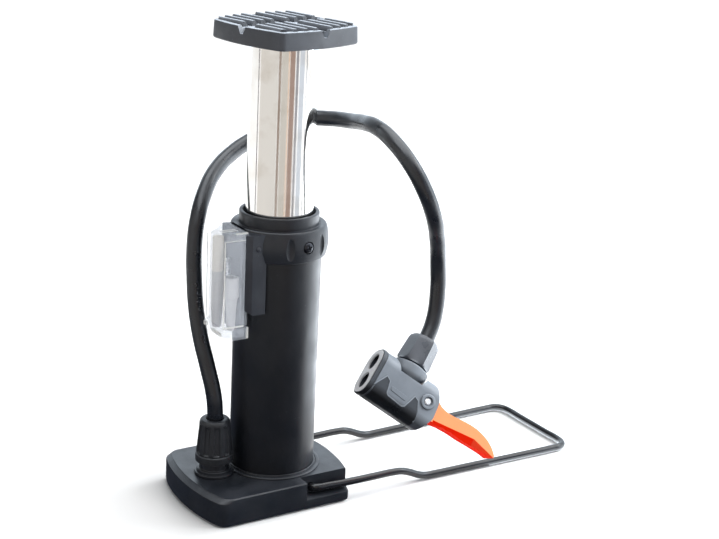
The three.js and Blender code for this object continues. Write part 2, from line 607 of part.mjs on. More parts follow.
// The clamping lever: a cam round the pin that grows towards +Z, and a thumb blade along -X.
function leverSolid() {
  const [pivotX, pivotZ] = LEVER_PIVOT;
  const cam = [
    [-75, 5], [-45, 5.2], [-20, 5.3], [0, 5.4], [25, 5.7], [50, 6], [75, 6.3], [90, 6.4], [115, 6.2],
  ];
  const points = cam.map(([degrees, radius]) => {
    const angle = THREE.MathUtils.degToRad(degrees);
    return [pivotX + radius * Math.cos(angle), pivotZ + radius * Math.sin(angle)];
  });
  const blade = [
    [-17, 3.4], [-21, 1.8], [-26, 1.6], [-31, 2.4], [-37, 3], [-42, 2.9], [-47, 1.9], [-51, 0.2],
    [-54.2, -2], [-55.6, -3.8], [-54.8, -5], [-50.3, -4.8], [-44, -5.3], [-38, -5.8], [-31, -5.7],
    [-24, -6.2], [-18.5, -7.2],
  ];
  let lever = solid(sidePrism(polygon([...points, ...blade]), LEVER_HALF_WIDTH, 0.9));
  for (const side of [-1, 1]) {
    lever = cut(lever, leverSlope(side, [0, 24], 9), leverSlope(side, [-20, 0], -10));
  }
  return cut(lever, sideways(rod(1.8, -10, 10, 16)).translate(pivotX, 0, pivotZ));
}

// Cuts one lower side of the blade back to a slope. Its crease is highest at X -42 and falls by a tilt.
function leverSlope(side, reach, tilt) {
  const across = side > 0 ? [0, 12] : [-12, 0];
  return block(reach, across, [-12, 0])
    .rotateX(THREE.MathUtils.degToRad(-27 * side))
    .rotateY(THREE.MathUtils.degToRad(tilt))
    .translate(-42, LEVER_HALF_WIDTH * side, -1.9);
}

// ---------------------------------------------------------------- bracket and box of adaptors
function makeBracket() {
  const [arm0, arm1] = BRACKET_Y;
  const front = BOX_X[1] + 0.3;
  const groove = RAIL_X[1] + 0.3;
  const plan = polygon([
    [front, arm0 + 1], [front + 3.2, arm0], [-15.3, arm0], [-15.3, arm1], [front, arm1],
    [front, RAIL_Y[1] + 0.4], [groove, RAIL_Y[1] + 0.4], [groove, RAIL_Y[0] - 0.4],
    [front, RAIL_Y[0] - 0.4],
  ]);
  const flat = block([-31, COLLAR_FLAT_X - 0.3], [RAIL_Y[0] + 0.1, arm1], [110, 150]);
  const collarSpace = cut(solid(rod(COLLAR_BULGE_R + GAP, COLLAR_BOTTOM - GAP, 150, 48)), flat);
  let bracket = cut(solid(prism(plan, BRACKET_BOTTOM, BRACKET_TOP)), rod(BARREL_R + GAP, 90, 150, 48));
  bracket = bracket.subtract(collarSpace);
  const screwSpace = onCollar(rod(3.2, 20, 30, 14), COLLAR_SCREW_ANGLES[2]);
  bracket = cut(bracket, screwSpace.translate(0, 0, COLLAR_SCREW_Z));
  bracket = cut(bracket, block([-20, 0], [0, 20], [90, 150]));
  const screw = sideways(revolve([[0, 0], [1.5, 0], [1.5, 0.7], [0.8, 1.2], [0, 1.2]], 14));
  add(pump, 'box_bracket', bracket, BLACK_PLASTIC);
  add(pump, 'bracket_pin', screw.translate(-20, arm0 - GAP, 131.4), STEEL);
}

// The box's plan, grown outwards, up to a given X at its back.
function boxPlan(grow, back, radius) {
  const [x0, y0, y1] = [BOX_X[0] - grow, BOX_Y[0] - grow, BOX_Y[1] + grow];
  const [slantX, slantY] = BOX_SLANT;
  return roundedShape([
    [x0, y0, radius], [back, y0, radius], [back, y1, radius], [slantX, y1, radius],
    [x0, slantY + grow, radius],
  ]);
}

function makeBox() {
  const outer = solid(prism(boxPlan(0, BOX_X[1], 1.1), BOX_BOTTOM, BOX_TOP, 4));
  const rail = block(RAIL_X, RAIL_Y, [BOX_BOTTOM, BOX_TOP]);
  const pocketX = [BOX_X[1] - 3, RAIL_X[1] - BOX_WALL];
  const pocketY = [RAIL_Y[0] + BOX_WALL, RAIL_Y[1] - BOX_WALL];
  const hollowPlan = boxPlan(-BOX_WALL, BOX_X[1] - BOX_WALL, 0.6);
  const hollowOut = (body, z0, z1) =>
    cut(body, prism(hollowPlan, z0, z1, 3), block(pocketX, pocketY, [z0, z1]));
  add(pump, 'storage_box', hollowOut(join(outer, rail), BOX_BOTTOM - 1, BOX_TOP - BOX_WALL), CLEAR_PLASTIC);

  const lidTop = BOX_BOTTOM - GAP;
  const [catchX, hingeY] = [BOX_X[0] - 1.2, BOX_Y[0] - 0.4];
  let lid = solid(chamferedPrism(boxPlan(0.4, RAIL_X[1], 1.1), LID_BOTTOM, lidTop, 0.4, 4));
  lid = hollowOut(lid, LID_BOTTOM + BOX_WALL, lidTop + 1);
  lid = join(lid, block([catchX, catchX + 1.4], [-0.8, 1.6], [lidTop - 2.4, lidTop]));
  const hinge = rod(0.8, BOX_X[0] + 4, RAIL_X[1] - 3, 10).rotateY(Math.PI / 2);
  lid = join(lid, hinge.translate(0, hingeY, lidTop - 0.9));
  add(pump, 'box_lid', lid, CLEAR_PLASTIC);
  makeAdaptors();
}

// A tapered inflating nozzle, a ball needle behind it, and a plastic valve adaptor beside them.
function makeAdaptors() {
  const nozzle = [
    [1.3, 91], [1.7, 91], [3.1, 107.5], [3.75, 107.8], [3.75, 117.4], [1.9, 117.4], [1.9, 110],
  ];
  add(pump, 'cone_nozzle', revolve(nozzle, 20).translate(-29.6, -9.2, 0), WHITE_PLASTIC);
  const needle = [[0, 92], [0.8, 92], [0.9, 114], [1.6, 114.4], [1.6, 124.8], [0, 124.8]];
  add(pump, 'ball_needle', revolve(needle, 16).translate(-28.6, -2.6, 0), STEEL);
  const adaptor = [[0, 91], [2.2, 91], [2.8, 100], [2.8, 118.6], [2.5, 118.9], [2.5, 135.8], [0, 135.8]];
  add(pump, 'valve_adaptor', revolve(adaptor, 18).translate(-32.9, -1.1, 0), CREAM_PLASTIC);
}

makeBase();
makeBarrelFoot();
makeBarrel();
makePedal();
makeStand();
makeHose();
makeHead();
makeBracket();
makeBox();

export default pump;
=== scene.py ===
# The looks of the foot pump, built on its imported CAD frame.
# Lengths are written in millimetres and angles in degrees.
import math

import bpy
from mathutils import Matrix, Vector


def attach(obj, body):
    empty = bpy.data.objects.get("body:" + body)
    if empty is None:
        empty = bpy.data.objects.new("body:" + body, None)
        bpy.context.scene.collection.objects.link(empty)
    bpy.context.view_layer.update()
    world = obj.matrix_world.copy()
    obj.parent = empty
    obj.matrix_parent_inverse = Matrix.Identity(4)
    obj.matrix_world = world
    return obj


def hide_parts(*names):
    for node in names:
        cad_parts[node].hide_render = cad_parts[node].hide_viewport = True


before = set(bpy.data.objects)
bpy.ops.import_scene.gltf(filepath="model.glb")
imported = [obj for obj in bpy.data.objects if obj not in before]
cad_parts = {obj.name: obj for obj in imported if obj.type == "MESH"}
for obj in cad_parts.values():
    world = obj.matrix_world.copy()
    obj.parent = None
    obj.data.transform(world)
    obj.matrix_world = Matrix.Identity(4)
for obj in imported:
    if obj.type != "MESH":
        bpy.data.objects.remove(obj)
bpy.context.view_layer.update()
MM = 0.001


# ------------------------------------------------------------------ camera
CAMERA_LENS = 75.1
SENSOR_WIDTH = 36
CAMERA_PLACE = Vector((-341.3, -602.8, 333.9))
CAMERA_AZIMUTH = 32.798
CAMERA_ELEVATION = 17.426
CAMERA_ROLL = 2.953


def make_camera():
    data = bpy.data.cameras.new("camera")
    data.lens = CAMERA_LENS
    data.sensor_width = SENSOR_WIDTH
    camera = bpy.data.objects.new("camera", data)
    angles = [math.radians(angle) for angle in (CAMERA_AZIMUTH, CAMERA_ELEVATION, CAMERA_ROLL)]
    turn = Matrix(camera_axes(*angles)).transposed().to_4x4()
    camera.matrix_world = Matrix.Translation(CAMERA_PLACE * MM) @ turn
    bpy.context.scene.collection.objects.link(camera)
    bpy.context.scene.camera = camera


def camera_axes(azimuth, elevation, roll):
    """The camera's right, up and backward directions."""
    back = Vector((-math.sin(azimuth) * math.cos(elevation),
                   -math.cos(azimuth) * math.cos(elevation), math.sin(elevation)))
    level = Vector((math.cos(azimuth), -math.sin(azimuth), 0))
    up = level.cross(-back)
    right = math.cos(roll) * level + math.sin(roll) * up
    return right, back.cross(right), back


make_camera()

# ------------------------------------------------------------------ valve head's axes and hose's route
# The head's X points at the tyre valve that it is pressed on, and its Z goes up its neck to the hose.
HEAD_ORIGIN = Vector((41.8, -54, 64.7))
HEAD_X = Vector((-0.742, 0.348, 0.573)).normalized()
HEAD_Z = Vector((0.661, 0.235, 0.713))
HEAD_Z = (HEAD_Z - HEAD_Z.dot(HEAD_X) * HEAD_X).normalized()
HEAD_Y = HEAD_Z.cross(HEAD_X)
HEAD_TURN = Matrix((HEAD_X, HEAD_Y, HEAD_Z)).transposed().to_4x4()
HEAD = Matrix.Translation(HEAD_ORIGIN) @ HEAD_TURN
NECK = Matrix.Translation((3, 0, 0))
NUT_TURN = 12
HOSE_R = 3.9
HOSE_ROUTE = [
    (-32, 0, 39.3), (-32, 0, 44.5), (-32.4, 0.9, 53.8), (-33.8, 5.5, 67.6), (-35, 11.2, 81),
    (-35.3, 16.1, 94.7), (-34.8, 19.6, 108.8), (-33.7, 22.5, 123.1), (-30.2, 26.5, 136.6),
    (-23.4, 32.7, 147.8), (-14, 39.9, 156.3), (-2.2, 45.4, 162.8), (11, 47.8, 168.4),
    (24.2, 45.6, 174), (35.1, 37.5, 178.9), (42.5, 25.1, 180.9), (44.9, 10.9, 182.5),
    (43.5, -3.4, 184.6), (41.4, -17.8, 185.4), (41.5, -31.8, 181.8), (44.5, -43, 173.2),
    (49.5, -49.1, 161), (55.7, -48.9, 147.9), (61.7, -44.5, 135.4), (65.8, -40.7, 122),
    (66.5, -41, 107.5), (63, -44, 93.7), (58.1, -46.3, 86.3), (56.3, -47, 84.4),
    (54.5, -47.6, 82.5),
]


# ------------------------------------------------------------------ materials
class Material:
    """A node material on the Principled shader, with its textures in object space."""

    def __init__(self, name, colour, roughness, metallic=0.0):
        self.data = bpy.data.materials.new(name)
        self.data.use_nodes = True
        self.tree = self.data.node_tree
        self.shader = self.tree.nodes["Principled BSDF"]
        self.set("Base Color", (*colour, 1))
        self.set("Roughness", roughness)
        self.set("Metallic", metallic)
        self.colour = colour
        self.place = self.tree.nodes.new("ShaderNodeTexCoord").outputs["Object"]
        self.height = None

    def set(self, socket, value):
        self.shader.inputs[socket].default_value = value

    def link(self, source, target):
        self.tree.links.new(source, target)

    def noise(self, scale, detail=3.0, stretch=(1, 1, 1), distortion=0.0):
        node = self.tree.nodes.new("ShaderNodeTexNoise")
        node.inputs["Scale"].default_value = scale
        node.inputs["Detail"].default_value = detail
        node.inputs["Distortion"].default_value = distortion
        self.link(self.stretched(stretch), node.inputs["Vector"])
        return node.outputs["Fac"]

    def stretched(self, stretch):
        if tuple(stretch) == (1, 1, 1):
            return self.place
        node = self.tree.nodes.new("ShaderNodeMapping")
        node.inputs["Scale"].default_value = stretch
        self.link(self.place, node.inputs["Vector"])
        return node.outputs["Vector"]

    def ramp(self, source, low, high, to_low=0.0, to_high=1.0):
        node = self.tree.nodes.new("ShaderNodeMapRange")
        values = {"From Min": low, "From Max": high, "To Min": to_low, "To Max": to_high}
        for socket, value in values.items():
            node.inputs[socket].default_value = value
        self.link(source, node.inputs["Value"])
        return node.outputs["Result"]

    def tint(self, source, colour):
        """Mixes another colour in where the source is high, over whatever colours came before."""
        node = self.tree.nodes.new("ShaderNodeMix")
        node.data_type = "RGBA"
        before = self.shader.inputs["Base Color"]
        if before.is_linked:
            self.link(before.links[0].from_socket, node.inputs["A"])
        else:
            node.inputs["A"].default_value = (*self.colour, 1)
        node.inputs["B"].default_value = (*colour, 1)
        self.link(source, node.inputs["Factor"])
        self.link(node.outputs["Result"], before)
        return self

    def roughen(self, source, low, high):
        self.link(self.ramp(source, 0.3, 0.7, low, high), self.shader.inputs["Roughness"])
        return self

    def emboss(self, source, strength, depth_mm):
        """Adds a bump of this depth, over whatever bumps came before."""
        node = self.tree.nodes.new("ShaderNodeBump")
        node.inputs["Strength"].default_value = strength
        node.inputs["Distance"].default_value = depth_mm * MM
        self.link(source, node.inputs["Height"])
        if self.height is not None:
            self.link(self.height, node.inputs["Normal"])
        self.height = node.outputs["Normal"]
        self.link(self.height, self.shader.inputs["Normal"])
        return self

    def paint_light_and_shade(self, direction, low, high, colour):
        """Paints light or shade into the colour: mixes another colour in where the surface faces this way,
        from one cosine to another.
        """
        node = self.tree.nodes.new("ShaderNodeVectorMath")
        node.operation = "DOT_PRODUCT"
        self.link(self.tree.nodes.new("ShaderNodeTexCoord").outputs["Normal"], node.inputs[0])
        node.inputs[1].default_value = direction.normalized()
        self.tint(self.ramp(node.outputs["Value"], low, high), colour)
        return self

    def specks(self, scale, size, colour):
        """Sparse dust: small round spots at some of a Voronoi pattern's centres."""
        node = self.tree.nodes.new("ShaderNodeTexVoronoi")
        node.inputs["Scale"].default_value = scale
        self.link(self.place, node.inputs["Vector"])
        self.tint(self.ramp(node.outputs["Distance"], size, size * 0.5), colour)
        return self


def moulded(name, colour, worn, roughness, grain=0.25, dust=(0.25, 0.27, 0.3), sheen=0.3):
    """Moulded plastic: fine spark texture, cloudy gloss and a little dust. sheen is the specular level."""
    m = Material(name, colour, roughness)
    m.tint(m.ramp(m.noise(45, 5, distortion=0.6), 0.42, 0.72), worn)
    m.specks(520, 0.045, dust)
    m.roughen(m.noise(90, 6), roughness - 0.1, roughness + 0.12)
    m.emboss(m.noise(2600, 2), grain, 0.12)
    m.emboss(m.noise(60, 2), 0.12, 0.3)
    m.set("Specular IOR Level", sheen)
    return m


def rubber(name, colour, worn, roughness):
    """Rubber: a fine matt skin with a little dust."""
    m = Material(name, colour, roughness)
    m.tint(m.ramp(m.noise(70, 6), 0.45, 0.75), worn)
    m.specks(600, 0.04, (0.16, 0.16, 0.17))
    m.roughen(m.noise(120, 5), roughness - 0.1, roughness + 0.15)
    m.emboss(m.noise(1500, 3), 0.3, 0.08)
    m.set("Specular IOR Level", 0.4)
    return m


def chrome(name):
    """Chromed steel: polished, with faint mottling and waves drawn out along the tube."""
    m = Material(name, (0.83, 0.82, 0.8), 0.07, 1.0)
    m.tint(m.ramp(m.noise(70, 8), 0.48, 0.7), (0.72, 0.69, 0.65))
    m.roughen(m.noise(160, 7, (1, 1, 0.15)), 0.05, 0.16)
    m.emboss(m.noise(420, 4, (1, 1, 0.04)), 0.06, 0.05)
    m.emboss(m.noise(38, 3, (1, 1, 0.5)), 0.06, 0.35)
    return m


def brushed(name, colour, roughness):
    """Bare metal with fine turning marks."""
    m = Material(name, colour, roughness, 1.0)
    m.tint(m.ramp(m.noise(200, 5), 0.5, 0.8), tuple(c * 0.6 for c in colour))
    m.roughen(m.noise(500, 4, (1, 1, 8)), roughness - 0.08, roughness + 0.15)
    m.emboss(m.noise(900, 3, (1, 1, 6)), 0.12, 0.05)
    return m


def painted(name, colour, worn, roughness):
    """Sprayed enamel on metal, with orange peel and dust in the coat."""
    m = Material(name, colour, roughness)
    m.tint(m.ramp(m.noise(25, 6), 0.45, 0.8), worn)
    m.specks(430, 0.04, (0.2, 0.22, 0.25))
    m.roughen(m.noise(70, 6), roughness - 0.08, roughness + 0.1)
    m.emboss(m.noise(900, 2), 0.12, 0.1)
    m.emboss(m.noise(45, 1), 0.03, 0.3)
    m.set("Specular IOR Level", 0.5)
    return m


def clear(name, colour, alpha):
    """Milky polypropylene: thin, with flow marks and scuffs."""
    m = Material(name, colour, 0.3)
    m.tint(m.ramp(m.noise(60, 5, (1, 1, 0.3)), 0.45, 0.75), tuple(c * 0.93 for c in colour))
    m.roughen(m.noise(150, 6), 0.2, 0.42)
    m.emboss(m.noise(130, 3, (1, 1, 0.4)), 0.15, 0.15)
    m.set("Alpha", alpha)
    m.set("Specular IOR Level", 0.6)
    return m


PAINTED_LIGHT_SIDE = Vector((0, -0.45, 0.9))  # painted light falls from this way: the valve head's plastics are painted paler where they face up and near
BLACK = moulded("black_plastic", (0.0065, 0.009, 0.0145), (0.0135, 0.0165, 0.024), 0.4, sheen=0.5)
BRACKET_BLACK = moulded("bracket_plastic", (0.015, 0.018, 0.026), (0.026, 0.03, 0.04), 0.38, sheen=0.5)
PEDAL_BLACK = moulded("pedal_plastic", (0.026, 0.03, 0.04), (0.042, 0.048, 0.062), 0.5, 0.35, sheen=0.6)
# painted highlight: the pedal's upward faces are painted pale blue-grey, as if lit from above
PEDAL_BLACK.paint_light_and_shade(Vector((0, 0, 1)), 0.25, 0.85, (0.42, 0.47, 0.54))
BARREL_PAINT = painted("barrel_enamel", (0.0052, 0.0066, 0.0105), (0.009, 0.0108, 0.016), 0.36)
CHROME = chrome("chromed_steel")
STEEL = brushed("bright_steel", (0.62, 0.62, 0.63), 0.25)
PIN_STEEL = brushed("polished_pin", (0.92, 0.92, 0.93), 0.35)
DARK_STEEL = brushed("blacked_screw", (0.05, 0.052, 0.06), 0.3)
RUBBER = rubber("black_rubber", (0.0055, 0.0075, 0.012), (0.012, 0.0148, 0.021), 0.3)
RUBBER.set("Specular IOR Level", 0.6)
SLEEVE = rubber("sleeve_rubber", (0.012, 0.0138, 0.018), (0.022, 0.025, 0.031), 0.45)
GREY = moulded("grey_plastic", (0.16, 0.182, 0.212), (0.21, 0.236, 0.27), 0.42, sheen=0.45)
# painted shade: the grey head is painted near black where it faces away from the painted light
GREY.paint_light_and_shade(-PAINTED_LIGHT_SIDE, -0.72, -0.15, (0.03, 0.035, 0.045))
GRIP = moulded("grip_plastic", (0.0035, 0.004, 0.0055), (0.008, 0.009, 0.012), 0.36, sheen=0.3)
# painted light: the dark grip is painted paler where it faces up and near
GRIP.paint_light_and_shade(PAINTED_LIGHT_SIDE, 0.3, 0.78, (0.055, 0.062, 0.073))
NUT_GREY = moulded("nut_plastic", (0.052, 0.059, 0.073), (0.085, 0.095, 0.115), 0.32, sheen=0.6)
FACE = moulded("face_plastic", (0.62, 0.62, 0.64), (0.7, 0.7, 0.71), 0.45)
ORANGE = moulded("orange_plastic", (0.76, 0.013, 0.001), (0.71, 0.018, 0.002), 0.6, 0.15,
                 dust=(0.8, 0.06, 0.01), sheen=0.02)
# painted light: the lever is painted pale peach where it faces up and near, and its lower slopes stay
# red-orange as painted shade
ORANGE.paint_light_and_shade(PAINTED_LIGHT_SIDE, 0.46, 0.6, (0.98, 0.34, 0.15))
WHITE = moulded("white_plastic", (0.72, 0.7, 0.69), (0.62, 0.6, 0.6), 0.4, 0.15, (0.5, 0.47, 0.42))
CREAM = moulded("cream_plastic", (0.98, 0.92, 0.82), (0.92, 0.85, 0.74), 0.45, 0.15, (0.5, 0.42, 0.3))
CLEAR = clear("clear_plastic", (0.68, 0.72, 0.79), 0.22)
CLEAR_EDGE = clear("clear_plastic_edge", (0.72, 0.71, 0.68), 0.55)
WIRE = painted("wire_enamel", (0.006, 0.006, 0.008), (0.011, 0.011, 0.014), 0.18)


# ------------------------------------------------------------------ mesh building
def add_object(name, data, material):
    obj = bpy.data.objects.new(name, data)
    bpy.context.scene.collection.objects.link(obj)
    if material is not None:
        data.materials.append(material.data)
    return obj


def at_height(outline, z):
    return [(x, y, z) for x, y in outline]


def from_loops(name, loops, material=None, closed=False):
    """A skin over a stack of loops with equal numbers of points, with flat ends unless it is closed."""
    count = len(loops[0])
    verts = [Vector(p) * MM for loop in loops for p in loop]
    faces = []
    for j in range(len(loops) if closed else len(loops) - 1):
        below, above = j * count, ((j + 1) % len(loops)) * count
        for i in range(count):
            k = (i + 1) % count
            faces.append((below + i, below + k, above + k, above + i))
    if not closed:
        faces.append(tuple(reversed(range(count))))
        faces.append(tuple(range((len(loops) - 1) * count, len(loops) * count)))
    mesh = bpy.data.meshes.new(name)
    mesh.from_pydata(verts, [], faces)
    mesh.validate()
    return add_object(name, mesh, material)


def lathe(name, profile, material=None, segments=96, radius=None):
    """Turns a profile of (radius, height) about Z. radius(r, angle, z) may vary it round the turn."""
    loops = []
    for r, z in profile:
        loop = []
        for i in range(segments):
            angle = 2 * math.pi * i / segments
            reach = radius(r, angle, z) if radius else r
            loop.append((reach * math.cos(angle), reach * math.sin(angle), z))
        loops.append(loop)
    on_axis = profile[0][0] < 0.02 and profile[-1][0] < 0.02
    return from_loops(name, loops, material, closed=not on_axis)


def pipe_profile(inner, outer, low, high):
    return [(inner, low), (outer, low), (outer, high), (inner, high)]


def prism(name, outline, z0, z1, material=None):
    return from_loops(name, [at_height(outline, z) for z in (z0, z1)], material)


def box(name, x, y, z, material=None):
    return prism(name, [(x[0], y[0]), (x[1], y[0]), (x[1], y[1]), (x[0], y[1])], *z, material)


def rod(name, radius, z0, z1, segments=48):
    return prism(name, circle(radius, segments), z0, z1)


def circle(radius, segments):
    turns = [2 * math.pi * i / segments for i in range(segments)]
    return [(radius * math.cos(t), radius * math.sin(t)) for t in turns]


def rounded(corners, steps=6, closed=True):
    """An outline with its corners rounded, each corner given as (x, y, radius)."""
    points = []
    count = len(corners)
    for i, (x, y, radius) in enumerate(corners):
        corner = Vector((x, y))
        if radius == 0 or (not closed and i in (0, count - 1)):
            points.append(tuple(corner))
            continue
        before = (Vector(corners[i - 1][:2]) - corner).normalized()
        after = (Vector(corners[(i + 1) % count][:2]) - corner).normalized()
        half = before.angle(after) / 2
        reach = radius / math.tan(half)
        centre = corner + (before + after).normalized() * (radius / math.sin(half))
        start = corner + before * reach - centre
        end = corner + after * reach - centre
        sweep = start.angle_signed(end)
        for k in range(steps + 1):
            spoke = start.copy()
            spoke.rotate(Matrix.Rotation(-sweep * k / steps, 2))
            points.append(tuple(centre + spoke))
    return points


def scaled_to_metres(matrix):
    scaled = matrix.copy()
    scaled.translation = matrix.translation * MM
    return scaled


def move(obj, matrix):
    """Moves an object's mesh or curve, so that the object itself stays at the origin."""
    obj.data.transform(scaled_to_metres(matrix))
    return obj


def turned(axis, degrees, offset=(0, 0, 0)):
    return Matrix.Translation(Vector(offset)) @ Matrix.Rotation(math.radians(degrees), 4, axis)


def bake(obj):
    """Replaces an object's mesh by what its modifiers make of it."""
    graph = bpy.context.evaluated_depsgraph_get()
    mesh = bpy.data.meshes.new_from_object(obj.evaluated_get(graph))
    obj.modifiers.clear()
    obj.data = mesh
    return obj


def combine(obj, others, operation):
    for other in others:
        modifier = obj.modifiers.new("join", "BOOLEAN")
        modifier.operation = operation
        modifier.solver = "EXACT"
        modifier.object = other
        bake(obj)
        bpy.data.objects.remove(other)
    return obj


def cut(obj, *others):
    return combine(obj, others, "DIFFERENCE")


def join(obj, *others):
    return combine(obj, others, "UNION")


def soften(obj, width, segments=3, angle=32):
    """Rounds the sharp edges and shades the rest smoothly."""
    if width:
        bevel = obj.modifiers.new("edges", "BEVEL")
        bevel.width = width * MM
        bevel.segments = segments
        bevel.limit_method = "ANGLE"
        bevel.angle_limit = math.radians(angle)
        bevel.harden_normals = False
        bevel.miter_outer = "MITER_ARC"
        bake(obj)
    obj.data.shade_smooth()
    obj.data.set_sharp_from_angle(angle=math.radians(angle))
    weighted = obj.modifiers.new("normals", "WEIGHTED_NORMAL")
    weighted.keep_sharp = True
    weighted.weight = 60
    return bake(obj)


def tube(name, points, radius, material, resolution=8, smooth=6):
    """A round bar along one smooth open curve."""
    curve = bpy.data.curves.new(name, "CURVE")
    curve.dimensions = "3D"
    curve.bevel_depth = radius * MM
    curve.bevel_resolution = resolution
    curve.resolution_u = smooth
    curve.use_fill_caps = True
    spline = curve.splines.new("BEZIER")
    spline.bezier_points.add(len(points) - 1)
    for point, place in zip(spline.bezier_points, points):
        point.co = Vector(place) * MM
        point.handle_left_type = "AUTO"
        point.handle_right_type = "AUTO"
    return add_object(name, curve, material)


def stand_for(obj, body, slot, *nodes):
    """Makes a piece move with a body and stand for these CAD nodes, which it hides. slot is not used."""
    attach(obj, body)
    if nodes:
        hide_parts(*nodes)
    return obj


# ------------------------------------------------------------------ base
BASE_HALF = 32.2
BASE_BACK = 49
BACK_BOW = 98
BACK_CORNER = 5.5
BASE_FRONT = 33
FRONT_BOW = 85
FRONT_CORNER = 1.6
LEDGE_START = 2.8
LEDGE_SIDE = 24.6
LEDGE_TOP = 5.1
SEAT_R = 21.15
FITTING = Matrix.Translation((-32, 0, 0))
STAND_PIVOT = (9, 0, 8.4)


def bow(reach, radius, y):
    """How far out a bowed end is, at this distance from its middle."""
    return reach - radius + math.sqrt(radius ** 2 - y ** 2)


def mirrored(points):
    """A stretch of outline on the other side of the X axis, run the other way."""
    return [(x, -y) for x, y in reversed(points)]


def base_outline(inset, back_inset):
    """The base's plan with its bowed ends. back_inset draws in the end behind the hose's fitting."""
    half = BASE_HALF - inset
    back_reach = BASE_BACK - back_inset
    back = [(-bow(back_reach, BACK_BOW, y), y) for y in (half * (1 - i / 12) for i in range(1, 24))]
    back = [point for point in back if abs(point[1]) < half - BACK_CORNER]
    corner = (-bow(back_reach, BACK_BOW, half) + 0.4, half, BACK_CORNER)
    back_corner = rounded([(back[0][0] + 14, half, 0), corner, (*back[0], 0)], 8, False)
    front = [(bow(BASE_FRONT - inset, FRONT_BOW, y), y) for y in (half * (i / 10 - 1) for i in range(21))]
    corner = (front[0][0], -half, FRONT_CORNER)
    front_corner = rounded([(0, -half, 0), corner, (*front[1], 0)], 4, False)[1:-1]
    front_end = front_corner + front[1:-1] + mirrored(front_corner)
    return front_end + back_corner + back[1:-1] + mirrored(back_corner)


def make_base():
    stack = [
        (0.3, 0.7, 0.7), (0.9, 0.15, 0.15), (1.8, 0, 0), (11.9, 0.1, 0), (12.3, 0.1, 0.2),
        (13.7, 0.2, 2.5), (14.2, 0.7, 3.0),
    ]
    loops = [at_height(base_outline(inset, back_inset), z) for z, inset, back_inset in stack]
    base = from_loops("base", loops, BLACK)
    for side in (-1, 1):
        near, far = side * LEDGE_SIDE, side * 40
        corners = [(LEDGE_START, near), (45, near), (45, far), (LEDGE_START, far)]
        ledge = prism("ledge", corners[::side], LEDGE_TOP, 20)
        pocket = move(rod("pocket", 2.2, 15, 30), turned("X", side * -90, STAND_PIVOT))
        cut(base, ledge, pocket)
    cut(base, rod("seat", SEAT_R, 3.7, 20, segments=96))
    cut(base, move(rod("fitting_seat", 9.9, 14.0, 20), FITTING))
    stand_for(soften(base, 0.3, 2, 30), "base", "black_plastic", "base_shell")
    make_foot_ring()


def make_foot_ring():
    """The raised ring round the barrel's foot, cut away for the hose's fitting."""
    profile = [
        (SEAT_R, 12), (24.2, 12), (24.2, 14.7), (23.9, 15.1), (23.4, 15.25), (22.6, 15.2), (22.3, 14.9),
        (21.9, 14.9), (21.7, 15.6), (21.3, 15.7), (SEAT_R, 15.4),
    ]
    ring = lathe("foot_ring", profile, BLACK, 128)
    cut(ring, move(rod("flange_space", 10, 10, 20), FITTING))
    stand_for(soften(ring, 0.12, 2), "base", "black_plastic")


# ------------------------------------------------------------------ barrel, collar and screws
BARREL_BORE = 19
BARREL_R = 21
BARREL_FOOT = 4.3
BARREL_TOP = 135.4
GROOVE_R = 24.55
GROOVE_Z = 131.2
SCREW_ANGLES = (-82.5, 37.5, 157.5)
SCREW_Z = 131.7


def make_barrel():
    profile = pipe_profile(BARREL_BORE, BARREL_R, BARREL_FOOT, BARREL_TOP)
    barrel = lathe("barrel_tube", profile, BARREL_PAINT, 128)
    stand_for(soften(barrel, 0), "base", "barrel_paint", "barrel")


def collar_profile():
    """The collar's section: its grooved body, the neck above it, the rim, and the bore."""
    body = [
        (21.3, 124.3), (21.9, 124), (22.5, 124.05), (23.0, 124.5), (23.5, 126.4), (24.0, 129),
        (24.1, 131.6), (23.9, 134.2), (23.5, 136.6), (23.1, 138.2), (22.7, 138.9), (22.1, 139.2),
    ]
    neck = [(20.2, 139.1), (19.8, 138.8), (19.4, 138.9), (19.2, 139.5)]
    rim = [(19.3, 144.3), (19.1, 144.8), (18.7, 145), (18.0, 145), (17.6, 144.8), (17.4, 144.3)]
    bore = [(17.2, 141.6), (18.9, 141.4), (18.9, 136.2), (21.3, 136.0)]
    return body + neck + rim + bore


def make_collar():
    collar = lathe("collar_moulding", collar_profile(), BLACK, 160)
    for angle in range(-105, 255, 45):
        turn = math.radians(angle)
        place = (GROOVE_R * math.cos(turn), GROOVE_R * math.sin(turn), GROOVE_Z)
        cut(collar, move(groove_cutter(), turned("Z", angle, place)))
    for angle in SCREW_ANGLES:
        well = move(rod("well", 3.05, 22.7, 27), turned("Y", 90))
        cut(collar, move(well, turned("Z", angle, (0, 0, SCREW_Z))))
    cut(collar, box("flat", (-31, -21.6), (-14.6, 9.7), (120, 139.4)))
    stand_for(soften(collar, 0.22, 2, 28), "base", "black_plastic", "collar")
    for k, angle in enumerate(SCREW_ANGLES):
        screw = screw_head()
        move(screw, turned("Z", angle, (0, 0, SCREW_Z)) @ turned("Y", 90))
        screw.name = f"collar_screw_head_{k + 1}"
        stand_for(screw, "base", "steel", f"collar_screw_{k + 1}")


def groove_cutter(across=2.295, deep=1.7, half_height=7.6):
    """A spindle with pointed ends, for the collar's grooves."""
    turns = [2 * math.pi * k / 20 for k in range(20)]
    loops = []
    for i in range(25):
        t = -1 + 2 * i / 24
        swell = max(0.03, math.sqrt(1 - t * t))
        loops.append([(deep * swell * math.cos(a), across * swell * math.sin(a), t * half_height)
                      for a in turns])
    return from_loops("groove", loops)


